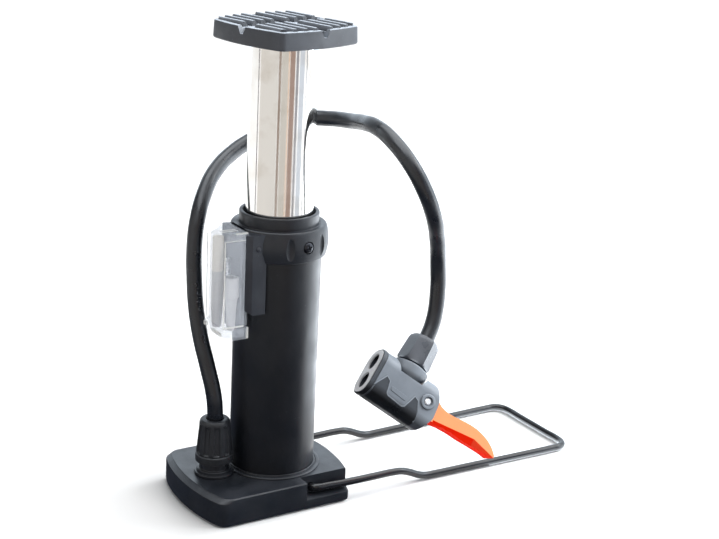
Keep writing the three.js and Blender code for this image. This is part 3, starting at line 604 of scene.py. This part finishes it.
def screw_head():
    """A cross-recessed pan head along Z, its top about 24.5 out."""
    profile = [
        (0.01, 19.4), (1.3, 19.4), (1.3, 22.9), (2.6, 22.9), (2.68, 23.3), (2.5, 23.9), (2.1, 24.3),
        (1.3, 24.5), (0.01, 24.55),
    ]
    screw = lathe("screw", profile, DARK_STEEL, 40)
    for turn in (20, 110):
        bar = box("bar", (-1.7, 1.7), (-0.34, 0.34), (23.5, 26))
        cut(screw, move(bar, turned("Z", turn)))
    return soften(screw, 0.06, 2, 35)


# ------------------------------------------------------------------ tube and pedal
TUBE_BORE = 15.1
TUBE_R = 16.3
TUBE_FOOT = 113.7
TUBE_TOP = 230
PEDAL_TURN = -31.7
PEDAL_FRAME = Matrix.Rotation(math.radians(PEDAL_TURN + 45), 4, "Z")
PEDAL_CORNER = 33.9
PEDAL_BULGE = 3.1
PEDAL_CORNER_R = 3.2
TREAD_FOOT = 232.2
TREAD_TOP = 235.3
TREAD_FIRST = 4.6
TREAD_PITCH = 5.6
TREAD_END = 3.6
NOTCH_PLACE = (26.9, 0, 233.6)


def make_tube():
    tube_wall = lathe("chromed_tube", pipe_profile(TUBE_BORE, TUBE_R, TUBE_FOOT, TUBE_TOP), CHROME, 160)
    stand_for(soften(tube_wall, 0), "treadle", "chrome", "piston_tube")


def pedal_outline(inset, steps=14):
    """Four bowed sides and rounded corners, in the pedal's own axes (its sides lie along X and Y)."""
    reach = PEDAL_CORNER / math.sqrt(2) - inset
    points = []
    for side in range(4):
        turn = Matrix.Rotation(math.radians(90 * side), 2)
        for i in range(steps + 1):
            t = -0.86 + 1.72 * i / steps
            y = t * reach
            x = reach + PEDAL_BULGE * (1 - t * t)
            points.append((*(turn @ Vector((x, y))), 0))
        points.append((*(turn @ Vector((reach, reach))), PEDAL_CORNER_R))
    return rounded(points)


def pedal_block(name, stack, material=None):
    """A block with the pedal's outline, from a stack of (height, inset)."""
    return from_loops(name, [at_height(pedal_outline(inset), z) for z, inset in stack], material)


def make_pedal():
    stack = [(225.7, 0.5), (226.1, 0.1), (226.8, 0), (233.4, 0.25), (233.9, 0.45), (234.1, 0.9)]
    pedal = pedal_block("pedal_moulding", stack, PEDAL_BLACK)
    cut(pedal, pedal_block("well", [(232.9, 2.7), (240, 1.9)]))
    rim = pedal_block("rim", [(225, 1.7), (240, 1.7)])
    rows = [side * (TREAD_FIRST + TREAD_PITCH * k) for side in (-1, 1) for k in range(4)]
    treads = [tread(x, *along) for x in rows for along in ((-30, -TREAD_END), (TREAD_END, 30))]
    join(pedal, *[combine(t, [copy_of(rim)], "INTERSECT") for t in treads])
    bpy.data.objects.remove(rim)
    for side in range(4):
        notch = prism("notch", [(-5.4, 5), (-0.9, -3), (0.9, -3), (5.4, 5)], -4, 3.6)
        upright = Matrix.Translation(NOTCH_PLACE) @ turned("Z", 90) @ turned("X", 90)
        cut(pedal, move(notch, turned("Z", 90 * side) @ upright))
    soften(pedal, 0.28, 2, 30)
    stand_for(move(pedal, PEDAL_FRAME), "treadle", "black_plastic", "pedal")


def tread(x, y0, y1):
    """One tread along the pedal's Y, its ends sloped like its sides."""
    half = [(1.75, TREAD_FOOT), (1.55, 233.4), (0.95, 235), (0.6, TREAD_TOP)]
    section = [(-1.75, TREAD_FOOT), *half, *[(-px, z) for px, z in reversed(half[1:])]]
    drafts = [max(0.0, z - TREAD_FOOT) * 0.25 for _, z in section]
    low = [(x + px, y0 + draft, z) for (px, z), draft in zip(section, drafts)]
    high = [(x + px, y1 - draft, z) for (px, z), draft in zip(section, drafts)]
    return from_loops("tread", [high, low])


def copy_of(obj):
    other = bpy.data.objects.new(obj.name, obj.data.copy())
    bpy.context.scene.collection.objects.link(other)
    return other


# ------------------------------------------------------------------ wire stand
WIRE_R = 1.9
WIRE_Z = 1.95


def make_stand():
    side = [
        (9, 20.6, 8.4), (9, 22.6, 8.4), (9.1, 24.6, 8.4), (9.8, 26.4, 8.4), (11.6, 27.2, 8.3),
        (16, 27.4, 8.2), (30, 27.7, 7.8), (44, 28, 7.8), (56, 28.2, 7.8), (61, 28.3, 7.3), (66, 28.4, 5.6),
        (71, 28.5, 3.4), (76, 28.6, 2.1), (82, 28.8, WIRE_Z), (100, 29.2, WIRE_Z), (130, 29.9, WIRE_Z),
        (158, 30.5, WIRE_Z), (162.6, 30.4, WIRE_Z), (165.6, 29.2, WIRE_Z), (167.5, 26.8, WIRE_Z),
        (168.4, 23.5, WIRE_Z), (168.4, 12, WIRE_Z),
    ]
    near = [(x, -y, z) for x, y, z in side]
    stand = tube("wire_loop", near + [(168.4, 0, WIRE_Z)] + side[::-1], WIRE_R, WIRE, 5, 5)
    stand_for(stand, "stand", "black_wire", "wire_stand")


# ------------------------------------------------------------------ hose and its fittings
def make_hose():
    hose = tube("rubber_hose", HOSE_ROUTE, HOSE_R, RUBBER, 10, 8)
    return stand_for(hose, "base", "rubber", "hose")


def make_outlet():
    profile = [
        (0.01, 12), (9.5, 12), (9.6, 14.2), (9.6, 15.3), (9.45, 15.6), (8.7, 15.7), (8.6, 16), (8.6, 17),
        (8.4, 17.3), (7.5, 17.4), (7.3, 17.7), (7.3, 20.2), (6.9, 21.2), (0.01, 21.2),
    ]
    outlet = move(lathe("base_outlet", profile, BLACK, 80), FITTING)
    stand_for(soften(outlet, 0, angle=25), "base", "black_plastic", "outlet_fitting")


def fluted(r, angle, z):
    """The sleeve's ten flat-bottomed flutes, with scalloped upper ends."""
    if r < 5:
        return r
    wave = min(1, max(0.0, 0.35 + math.cos(10 * angle)) / 0.55)
    top = 39.2 + 1.4 * wave
    depth = 0.75 * wave * min(1, max(0, (z - 25.6) / 0.5)) * min(1, max(0, (top - z) / 0.7))
    return r - depth


def make_sleeve():
    ring = [
        (7.4, 21), (8.9, 21.05), (9.25, 21.3), (9.3, 21.7), (9.3, 24.2), (9.2, 24.6), (8.9, 24.8),
        (8.7, 25.0), (8.7, 25.3), (8.85, 25.5),
    ]
    body = [
        (8.95, 25.7), (8.95, 26.3), (8.85, 27.5), (8.6, 29.5), (8.35, 32), (8.1, 34.5), (7.9, 36.8),
        (7.75, 38.4), (7.7, 39), (7.68, 39.5), (7.64, 40), (7.6, 40.6),
    ]
    mouth = [
        (7.5, 41.3), (7.2, 42.1), (6.6, 42.7), (5.6, 43), (4.5, 42.9), (4.1, 42.4), (4.0, 40), (4.0, 21),
    ]
    sleeve = move(lathe("hose_sleeve", ring + body + mouth, SLEEVE, 200, fluted), FITTING)
    stand_for(soften(sleeve, 0, angle=28), "base", "rubber", "base_hose_nut")


def hexagon(r, angle, z):
    """The hose nut's six flats, blended into its round ends."""
    if r < 5:
        return r
    fold = (angle + math.pi / 6) % (math.pi / 3) - math.pi / 6
    flat = r * math.cos(math.pi / 6) / math.cos(fold)
    blend = min(1, max(0, (z - 12.2) / 0.8)) * min(1, max(0, (26.9 - z) / 1.2))
    return r * (1 - blend) * 0.95 + flat * blend


def make_head_nut():
    profile = [
        (2.2, 11.9), (7.2, 11.9), (8.2, 12.2), (8.5, 12.7), (8.6, 13.4), (8.5, 16), (8.3, 19),
        (8.1, 22.2), (7.9, 24.6), (7.6, 25.8), (7.0, 26.5), (5.9, 26.8), (4.4, 26.8), (4.05, 26.2),
        (4.0, 22.4), (2.2, 22.4),
    ]
    nut = lathe("head_nut", profile, NUT_GREY, 144, hexagon)
    move(nut, HEAD @ NECK @ turned("Z", NUT_TURN))
    stand_for(soften(nut, 0, angle=24), "base", "grey_plastic", "head_hose_nut")


# ------------------------------------------------------------------ valve head
# In the head's own axes: its face, its rounded section, its valve holes, and its lever's pivot as (x, z).
FACE_X = 21.0
MID_Z = -2.2
HALF_Y, HALF_Z, CORNER = 8.3, 12.2, 7
HOLE_Z = (2.95, -7.35)
HOLE_R = 4.35
PIVOT = (-9.9, -0.9)
LEVER_HALF = 4.2
LEVER_SLOT = ((-26, -3.3), (-4.6, 4.6), (-8.8, 16))


def across_head(name, outline, half_width, material=None):
    """A solid across the head's width, drawn in its side plane as (x, z)."""
    loops = [[(x, y, z) for x, z in outline] for y in (half_width, -half_width)]
    return from_loops(name, loops, material)


def along_head(name, grow, x0, x1, material=None):
    """A bar with the head's rounded section."""
    y, z, r = HALF_Y + grow, HALF_Z + grow, CORNER + grow
    outline = rounded([(-y, -z, r), (y, -z, r), (y, z, r), (-y, z, r)], 14)
    return from_loops(name, [[(x, py, MID_Z + pz) for py, pz in outline] for x in (x0, x1)], material)


def side_y(z):
    """How far out the head's side is at a height."""
    beyond = max(0.0, abs(z - MID_Z) - (HALF_Z - CORNER))
    return HALF_Y - CORNER + math.sqrt(max(0.0, CORNER ** 2 - beyond ** 2))


def valve_hole(radius, z, x0, x1):
    return move(rod("hole", radius, x0, x1), Matrix.Translation((0, 0, z)) @ turned("Y", 90))


# the grip's zig-zag edge on the head's side, from the face to the lever, as (x, z)
ZIGZAG = [
    (18.2, -8.6), (14.3, -1.7), (11.9, -3.0), (10.6, -8.6), (9.4, -9.4), (0.8, -10.0), (-0.6, -9.2),
    (-2.9, -2.4), (-5.2, -3.2), (-7.6, -7.9), (-9.0, -12.6),
]


def make_head():
    make_head_shell()
    for side in (-1, 1):
        make_grip(side)
        make_ridge(side)
        make_pad(side)
    make_face()
    make_valve_seals()
    make_lever()
    make_lever_pin()


def make_head_shell():
    corners = [
        (20, -16, 0), (-13.1, -15, 0.8), (-16.4, -6.5, 5), (-15.6, 1.5, 5), (-12.4, 8.4, 3.5),
        (-8, 10.4, 2.5), (20, 10.4, 0),
    ]
    body = along_head("head_shell", 0, -18, 18.2, GREY)
    combine(body, [across_head("side", rounded(corners, 8), 9)], "INTERSECT")
    soften(body, 0.5, 3, 35)
    cut(body, move(rod("cove", 10.4, 4.4, 14, 72), NECK))
    cut(body, box("slot", *LEVER_SLOT))
    neck = [
        (0.01, 1), (8.0, 1), (8.1, 4.4), (8.6, 5.2), (9.2, 6.2), (9.4, 7.4), (9.4, 10.2), (9.1, 10.8),
        (8.4, 11.1), (7.3, 11.2), (7.2, 11.7), (0.01, 11.7),
    ]
    join(body, move(lathe("neck", neck, None, 72), NECK))
    boss = [(0.01, -1), (3.9, -1), (3.8, 0.9), (3.4, 1.2), (2.4, 1.2), (2.1, 0.4), (0.01, 0.4)]
    for side in (-1, 1):
        place = turned("X", -90 * side, (PIVOT[0], side * 8.0, PIVOT[1]))
        join(body, move(lathe("boss", boss, None, 48), place))
    for z in HOLE_Z:
        cut(body, valve_hole(4.6, z, 4, 22))
    soften(body, 0.12, 2, 40)
    stand_for(move(body, HEAD), "base", "grey_plastic", "head_body")


def hand(side):
    return "left" if side > 0 else "right"


def make_grip(side):
    """The dark grip on one side of the head, below its zig-zag edge."""
    grip = along_head(f"{hand(side)}_grip", 0.14, -9.5, 17.6, GRIP)
    area = [(18.2, -15.5), *ZIGZAG, (-9.4, -15.5)]
    reach = sorted((0.2 * side, 9 * side), reverse=True)
    region = from_loops("region", [[(x, y, z) for x, z in area] for y in reach])
    combine(grip, [region], "INTERSECT")
    cut(grip, box("slot", *LEVER_SLOT))
    stand_for(move(soften(grip, 0.1, 2), HEAD), "base", "black_plastic")


def make_ridge(side):
    """The raised line along the grip's zig-zag edge."""
    points = [(x, side * side_y(z), z) for x, z in ZIGZAG]
    ridge = tube(f"{hand(side)}_ridge", points, 0.42, GREY, 3, 4)
    for point in ridge.data.splines[0].bezier_points:
        point.handle_left_type = "VECTOR"
        point.handle_right_type = "VECTOR"
    stand_for(move(ridge, HEAD), "base", "grey_plastic")


def make_pad(side):
    plan = rounded([(0.4, -7.0, 0.7), (9.6, -6.4, 0.7), (9.8, -4.2, 0.7), (0.2, -4.6, 0.7)], 4)
    pad = prism(f"{hand(side)}_pad", plan, -0.3, 0.35, GREY)
    move(pad, turned("X", 90, (0, side * HALF_Y, 0)))
    stand_for(move(soften(pad, 0.2, 2), HEAD), "base", "grey_plastic")


def make_face():
    face = along_head("head_face", 0.15, 18.3, FACE_X - 0.35, GRIP)
    plate = along_head("face_plate", -0.75, 20, FACE_X, FACE)
    for z in HOLE_Z:
        cut(face, valve_hole(HOLE_R, z, 10, 25))
        cut(plate, valve_hole(HOLE_R, z, 10, 25))
    soften(face, 0.5, 3, 35)
    stand_for(move(face, HEAD), "base", "grey_plastic", "head_cap")
    stand_for(move(soften(plate, 0.2, 2, 35), HEAD), "base", "grey_plastic")


def make_valve_seals():
    """The rubber collars that grip a tyre's valve. The first one stands for the whole gasket."""
    for k, (z, bore) in enumerate(zip(HOLE_Z, (2.7, 2.0))):
        profile = [
            (bore, 10.6), (4.55, 10.6), (4.55, 17.6), (4.2, 18.2), (3.8, 17.8), (bore + 0.3, 16.1),
            (bore, 15.1),
        ]
        seal = lathe(f"valve_seal_{k + 1}", profile, RUBBER, 48)
        move(seal, HEAD @ Matrix.Translation((0, 0, z)) @ turned("Y", 90))
        stand_for(soften(seal, 0), "base", "rubber", *(["valve_gasket"] if k == 0 else []))


def make_lever():
    cam = [(-75, 5), (-50, 5.2), (-25, 5.3), (0, 5.4), (25, 5.7), (50, 6), (75, 6.3), (90, 6.4), (112, 6.2)]
    cam = [(-10 + r * math.cos(math.radians(a)), PIVOT[1] + r * math.sin(math.radians(a))) for a, r in cam]
    top = [
        (-17, 3.4), (-19, 2.3), (-21.5, 1.7), (-25, 1.5), (-28, 1.8), (-32, 2.5), (-37, 3), (-41, 3),
        (-45, 2.4), (-48.5, 1.4), (-51.8, -0.2), (-54.2, -2), (-55.5, -3.4),
    ]
    under = [
        (-55.6, -4.4), (-54.6, -5.1), (-51, -4.9), (-47, -5.1), (-42, -5.5), (-36, -5.8), (-30, -5.7),
        (-25, -6.1), (-20, -7),
    ]
    lever = across_head("thumb_lever", cam + top + under, LEVER_HALF, ORANGE)
    for side in (-1, 1):
        for reach, tilt in (((0, 24), 9), ((-20, 0), -10)):
            slope = box("slope", reach, sorted((0, 12 * side)), (-12, 0))
            crease = turned("Y", tilt, (-42, LEVER_HALF * side, -1.9)) @ turned("X", -27 * side)
            cut(lever, move(slope, crease))
    stand_for(move(soften(lever, 0.5, 3, 22), HEAD), "lever", "orange_plastic", "head_lever")


def make_lever_pin():
    profile = [(0.01, -8.9), (1.2, -8.9), (1.6, -8.6), (1.6, 8.6), (1.2, 8.9), (0.01, 8.9)]
    pin = lathe("pin_end", profile, PIN_STEEL, 32)
    move(pin, HEAD @ turned("X", 90, (PIVOT[0], 0, PIVOT[1])))
    stand_for(soften(pin, 0), "base", "steel", "lever_pin")


# ------------------------------------------------------------------ bracket and box of adaptors
BOX_FOOT = 94.3


def make_bracket():
    plan = [
        (-25.8, -15.5, 0.4), (-22.7, -16.6, 0.5), (-15.2, -16.6, 0.5), (-15.2, -14.6, 0), (-19.6, -8, 0),
        (-20.6, 0, 0), (-19.4, 8, 0), (-15.4, 9.4, 0.3), (-25.8, 9.4, 0.6), (-25.8, 7.8, 0.3),
        (-23.6, 7.8, 0), (-23.6, -14.8, 0), (-25.8, -14.8, 0.2),
    ]
    bracket = prism("bracket_clip", rounded(plan, 4), 99.3, 138.4, BRACKET_BLACK)
    cut(bracket, rod("barrel_space", BARREL_R + 0.1, 90, 150, 96))
    collar_space = [(0.01, 123.8), (22.6, 123.8), (24.2, 129), (24.2, 133.4), (23, 139.5), (0.01, 139.5)]
    cut(bracket, lathe("collar_space", collar_space))
    slope = prism("slope", [(-27, 98), (-19.5, 98), (-27, 102.6)], -30, 20)
    cut(bracket, move(slope, turned("X", 90)))
    stand_for(soften(bracket, 0.35, 2, 35), "base", "black_plastic", "box_bracket")
    profile = [(0.01, 0), (1.3, 0), (1.2, 0.35), (0.8, 0.65), (0.01, 0.75)]
    rivet = lathe("bracket_rivet", profile, BRACKET_BLACK, 32)
    move(rivet, turned("X", 90, (-19.8, -16.5, 131.6)))
    stand_for(soften(rivet, 0), "base", "black_plastic", "bracket_pin")


def box_plan(grow=0.0, radius=1.6, back=-26.0):
    """The box's plan with its cut-off far corner. grow widens it everywhere but at its back."""
    x0, y0, y1 = -37 - grow, -16 - grow, 8 + grow
    cut_off = [(-28.5, y1, 1.2), (x0, 2.6 + grow, radius)]
    return rounded([(x0, y0, radius), (back, y0, 0.5), (back, y1, 0.5), *cut_off])


def box_block(name, stack, radius=1.6, back=-26.0, material=None):
    """A block with the box's plan, from a stack of (height, growth)."""
    return from_loops(name, [at_height(box_plan(grow, radius, back), z) for z, grow in stack], material)


def make_box():
    stack = [(BOX_FOOT, 0), (136.9, 0), (138.2, -0.3), (139.1, -0.9), (139.7, -1.9)]
    shell = box_block("clear_box", stack, material=CLEAR)
    join(shell, box("rail", (-26.6, -23.9), (-14.4, 7.4), (BOX_FOOT, 139.5)))
    cut(shell, box_block("inside", [(90, -1.1), (136.9, -1.1), (137.6, -1.5), (138.4, -2.4)], 1, -27.1))
    cut(shell, box("pocket", (-29, -25), (-13.3, 6.3), (90, 138.4)))
    stand_for(soften(shell, 0.2, 2, 50), "box", "clear_plastic", "storage_box")
    make_box_ribs()
    make_lid()


def make_box_ribs():
    """The raised lines and thick edges of the box, where the clear plastic looks whiter."""
    ribs = [
        ((-30.4, -24.2), (-14.6, -13.4), (139.2, 139.9)),
        ((-35.2, -27), (-9.4, -8.9), (139.5, 139.95)),
        ((-35.2, -27), (-7.2, -6.7), (139.5, 139.95)),
        ((-37.2, -26.4), (-16.2, -15.7), (94.4, 95.2)),
        ((-37.15, -36.6), (-16.15, -15.6), (95.4, 137)),
        ((-37.15, -36.7), (1.9, 2.4), (95.4, 137)),
        ((-36.4, -26.6), (-16.1, -15.7), (136.6, 137)),
    ]
    for k, sides in enumerate(ribs):
        rib = box(f"box_rib_{k + 1}", *sides, CLEAR_EDGE)
        stand_for(soften(rib, 0.15, 2), "box", "clear_plastic")


def make_lid():
    stack = [(87.3, -2.4), (87.5, -1.4), (88.2, -0.4), (89.6, 0), (92.2, 0.15), (92.4, 0.6), (93.9, 0.6)]
    lid = box_block("clear_lid", stack, 2.2, -24.1, CLEAR)
    cut(lid, box_block("inside", [(88.4, -2.8), (89.2, -1.5), (95, -0.8)], 1.6, -25.0))
    stand_for(soften(lid, 0.15, 2, 40), "lid", "clear_plastic", "box_lid")
    pads = [
        box("lid_catch", (-38.4, -37.2), (-0.6, 1.8), (91.7, 93.9), CLEAR_EDGE),
        box("lid_pad", (-37.9, -37.0), (-14.6, -5.4), (90.4, 92.2), CLEAR_EDGE),
        box("lid_edge", (-24.9, -23.9), (-16.5, -15.6), (88.4, 94), CLEAR_EDGE),
    ]
    for pad in pads:
        stand_for(soften(pad, 0.3, 3), "lid", "clear_plastic")


def make_nozzle():
    profile = [
        (1.2, 91), (1.7, 91), (1.9, 92), (3.0, 107), (3.15, 107.4), (3.8, 107.7), (3.85, 108.2),
        (3.8, 108.8), (3.7, 109.2), (3.65, 116.4), (3.3, 117.2), (2.7, 117.4), (2.4, 116.9), (2.3, 109),
        (1.2, 96),
    ]
    nozzle = move(lathe("nozzle_moulding", profile, WHITE, 48), Matrix.Translation((-29.6, -9.2, 0)))
    stand_for(soften(nozzle, 0, angle=50), "box", "white_plastic", "cone_nozzle")


def make_needle():
    profile = [(0.01, 92), (0.6, 92), (0.75, 93), (0.85, 113.6), (1.0, 114), (1.5, 114.4)]
    for k in range(12):
        z = 114.6 + 0.75 * k
        profile += [(1.6, z), (1.3, z + 0.38)]
    profile += [(1.6, 123.7), (1.7, 123.8), (1.7, 124.8), (1.4, 125), (0.6, 125), (0.6, 122), (0.01, 122)]
    needle = move(lathe("needle_turning", profile, STEEL, 40), Matrix.Translation((-28.6, -2.6, 0)))
    stand_for(soften(needle, 0, angle=30), "box", "steel", "ball_needle")


def make_valve_adaptor():
    place = Matrix.Translation((-32.9, -1.1, 0))
    profile = [(0.01, 91), (2.0, 91), (2.3, 91.4), (2.75, 100), (2.8, 118.2), (2.6, 118.7), (0.01, 118.7)]
    stem = soften(move(lathe("adaptor_stem", profile, WHITE, 40), place), 0, angle=30)
    stand_for(stem, "box", "white_plastic", "valve_adaptor")
    profile = [
        (0.01, 118.7), (2.6, 118.7), (2.7, 119), (2.7, 134.9), (2.4, 135.5), (1.6, 135.8), (0.01, 135.8),
    ]
    sleeve = soften(move(lathe("adaptor_sleeve", profile, CREAM, 40), place), 0, angle=30)
    stand_for(sleeve, "box", "cream_plastic")


# ------------------------------------------------------------------ what carries over from the CAD
CARRIED = {
    "sole_pad": RUBBER, "barrel_plug": BLACK, "plug_seal": RUBBER, "check_ball": STEEL,
    "valve_spring": STEEL, "base_screw_1": STEEL, "base_screw_2": STEEL, "base_screw_3": STEEL,
    "guide_bush": WHITE, "tube_wiper": RUBBER, "piston_head": WHITE, "piston_cup": RUBBER,
    "piston_ring": WHITE, "return_spring": STEEL, "tube_plug": WHITE, "pedal_screw": STEEL,
    "head_plunger": WHITE,
}


def dress_cad_nodes():
    for name, material in CARRIED.items():
        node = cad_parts[name]
        node.data.materials.clear()
        node.data.materials.append(material.data)


# ------------------------------------------------------------------ stage and lights
CAMERA_SIDE = 240.5  # the way from the pump to the camera, in degrees round from +X
NEAR = 0.42
FAR = 0.9

# upright cards near the pump: name, degrees from the camera to its right, width, colour and strength
CARDS = [
    ("dark_stand", -89, 4, (0.25, 0.24, 0.26), 1),
    ("warm_wall", -50, 63, (0.84, 0.81, 0.77), 1.02),
    ("brown_post", -13, 8, (0.38, 0.3, 0.25), 1),
    ("pale_wall", 3, 21, (0.8, 0.76, 0.7), 0.9),
    ("orange_strip", 15.5, 3, (0.9, 0.6, 0.4), 1),
    ("red_post", 27, 17, (0.45, 0.33, 0.28), 1),
    ("grey_door", 43, 9, (0.4, 0.4, 0.43), 1),
    ("blue_wall", 60, 18, (0.78, 0.84, 0.93), 1),
    ("blue_line", 78, 4, (0.5, 0.52, 0.58), 1),
]


def plain(name, colour, strength=None):
    """A matt material for the stage, or one that only glows, where a strength is given."""
    data = bpy.data.materials.new(name)
    data.use_nodes = True
    shader = data.node_tree.nodes["Principled BSDF"]
    shader.inputs["Base Color"].default_value = (*colour, 1)
    shader.inputs["Roughness"].default_value = 0.9
    if strength is not None:
        shader.inputs["Base Color"].default_value = (0, 0, 0, 1)
        shader.inputs["Specular IOR Level"].default_value = 0
        shader.inputs["Emission Color"].default_value = (*colour, 1)
        shader.inputs["Emission Strength"].default_value = strength
    return data


def make_stage():
    make_floor()
    make_world()
    make_lights()
    for name, degrees, width, colour, strength in CARDS:
        card(name, degrees, width, colour, strength)
    card("right_window", 92, 34, (0.85, 0.93, 1), 4, FAR, (0.15, 0.8))
    card("back_wall", 165, 116, (0.8, 0.9, 1), 2, FAR, (0, 0.8))
    overhead_panel()
    floor_mat("dark_table", (-150, 80), (0.02, 0.4), (0.075, 0.09, 0.13), 0.8)
    floor_mat("bright_floor", (90, 150), (0.12, 0.88), (0.88, 0.94, 1), 4.5)


def make_floor():
    floor = sheet("floor", 6, -0.0004, plain("floor_paper", (0.92, 0.92, 0.915)))


def make_world():
    world = bpy.data.worlds.new("studio")
    world.use_nodes = True
    background = world.node_tree.nodes["Background"]
    background.inputs["Color"].default_value = (0.92, 0.96, 1.0, 1)
    background.inputs["Strength"].default_value = 0.3
    bpy.context.scene.world = world


def make_lights():
    sky = bpy.data.lights.new("key_sky", "SUN")
    sky.energy = 3.2
    sky.angle = math.radians(70)
    sky.color = (1, 0.99, 0.98)
    sky_light = bpy.data.objects.new("key_sky", sky)
    sky_light.rotation_mode = "QUATERNION"
    sky_light.rotation_quaternion = Vector((0.5, -0.1, 0.95)).to_track_quat("Z", "Y")
    bpy.context.scene.collection.objects.link(sky_light)
    soft_light("right_softbox", (0.95, -0.16, 0.42), (0, 0, 0.12), (1.1, 0.8), 18, (0.9, 0.95, 1))
    soft_light("left_fill", (-1.1, 0.35, 0.6), (0, 0, 0.1), (0.5, 0.6), 1.2, (1, 0.93, 0.86))


def sheet(name, half, z, material):
    """A level square sheet, its size and height in metres."""
    corners = [(-half, -half, z), (half, -half, z), (half, half, z), (-half, half, z)]
    mesh = bpy.data.meshes.new(name)
    mesh.from_pydata(corners, [], [(0, 1, 2, 3)])
    mesh.materials.append(material)
    return add_object(name, mesh, None)


def overhead_panel():
    """A bright panel over the pump, seen only in reflections, that picks out the upper edges."""
    seen_in_reflections(sheet("overhead_panel", 0.6, 1, plain("overhead_panel", (0.92, 0.96, 1), 4)))


def floor_mat(name, degrees, reach, colour, strength):
    """Part of a ring on the floor, seen only in reflections. Degrees turn from the camera to its right."""
    turns = [math.radians(CAMERA_SIDE + d) for d in range(degrees[0], degrees[1] + 1, 10)]
    points = [(r * math.cos(t), r * math.sin(t), 0.0003) for r in reach for t in turns]
    count = len(turns)
    mesh = bpy.data.meshes.new(name)
    mesh.from_pydata(points, [], [(i, i + 1, count + i + 1, count + i) for i in range(count - 1)])
    mesh.materials.append(plain(name, colour, strength))
    seen_in_reflections(add_object(name, mesh, None))


def soft_light(name, place, aim, size, power, colour):
    data = bpy.data.lights.new(name, "AREA")
    data.shape = "RECTANGLE"
    data.size, data.size_y = size
    data.energy = power
    data.color = colour
    light = bpy.data.objects.new(name, data)
    light.location = place
    light.rotation_mode = "QUATERNION"
    light.rotation_quaternion = (Vector(aim) - Vector(place)).to_track_quat("-Z", "Y")
    bpy.context.scene.collection.objects.link(light)


def card(name, degrees, width, colour, strength, distance=NEAR, heights=(0, 0.5)):
    """A curved upright card seen only in reflections. Degrees turn from the camera to its right."""
    middle = math.radians(CAMERA_SIDE + degrees)
    turns = [middle + math.radians(width) * (i / 8 - 0.5) for i in range(9)]
    corners = [(distance * math.cos(t), distance * math.sin(t), z) for t in turns for z in heights]
    mesh = bpy.data.meshes.new(name)
    mesh.from_pydata(corners, [], [(2 * i, 2 * i + 2, 2 * i + 3, 2 * i + 1) for i in range(8)])
    mesh.materials.append(plain(name, colour, strength))
    seen_in_reflections(add_object(name, mesh, None))


def seen_in_reflections(obj):
    """Hides an object of the stage from all but glossy rays."""
    for ray in ("camera", "diffuse", "shadow", "transmission"):
        setattr(obj, f"visible_{ray}", False)


# ------------------------------------------------------------------ the pump and its stage
make_outlet()
make_sleeve()
make_head_nut()
hose = make_hose()
make_base()
make_barrel()
make_collar()
make_tube()
make_pedal()
make_stand()
make_head()
make_bracket()
make_box()
make_nozzle()
make_needle()
make_valve_adaptor()
dress_cad_nodes()
make_stage()

bpy.context.view_layer.update()
bpy.context.scene.view_settings.view_transform = "Standard"
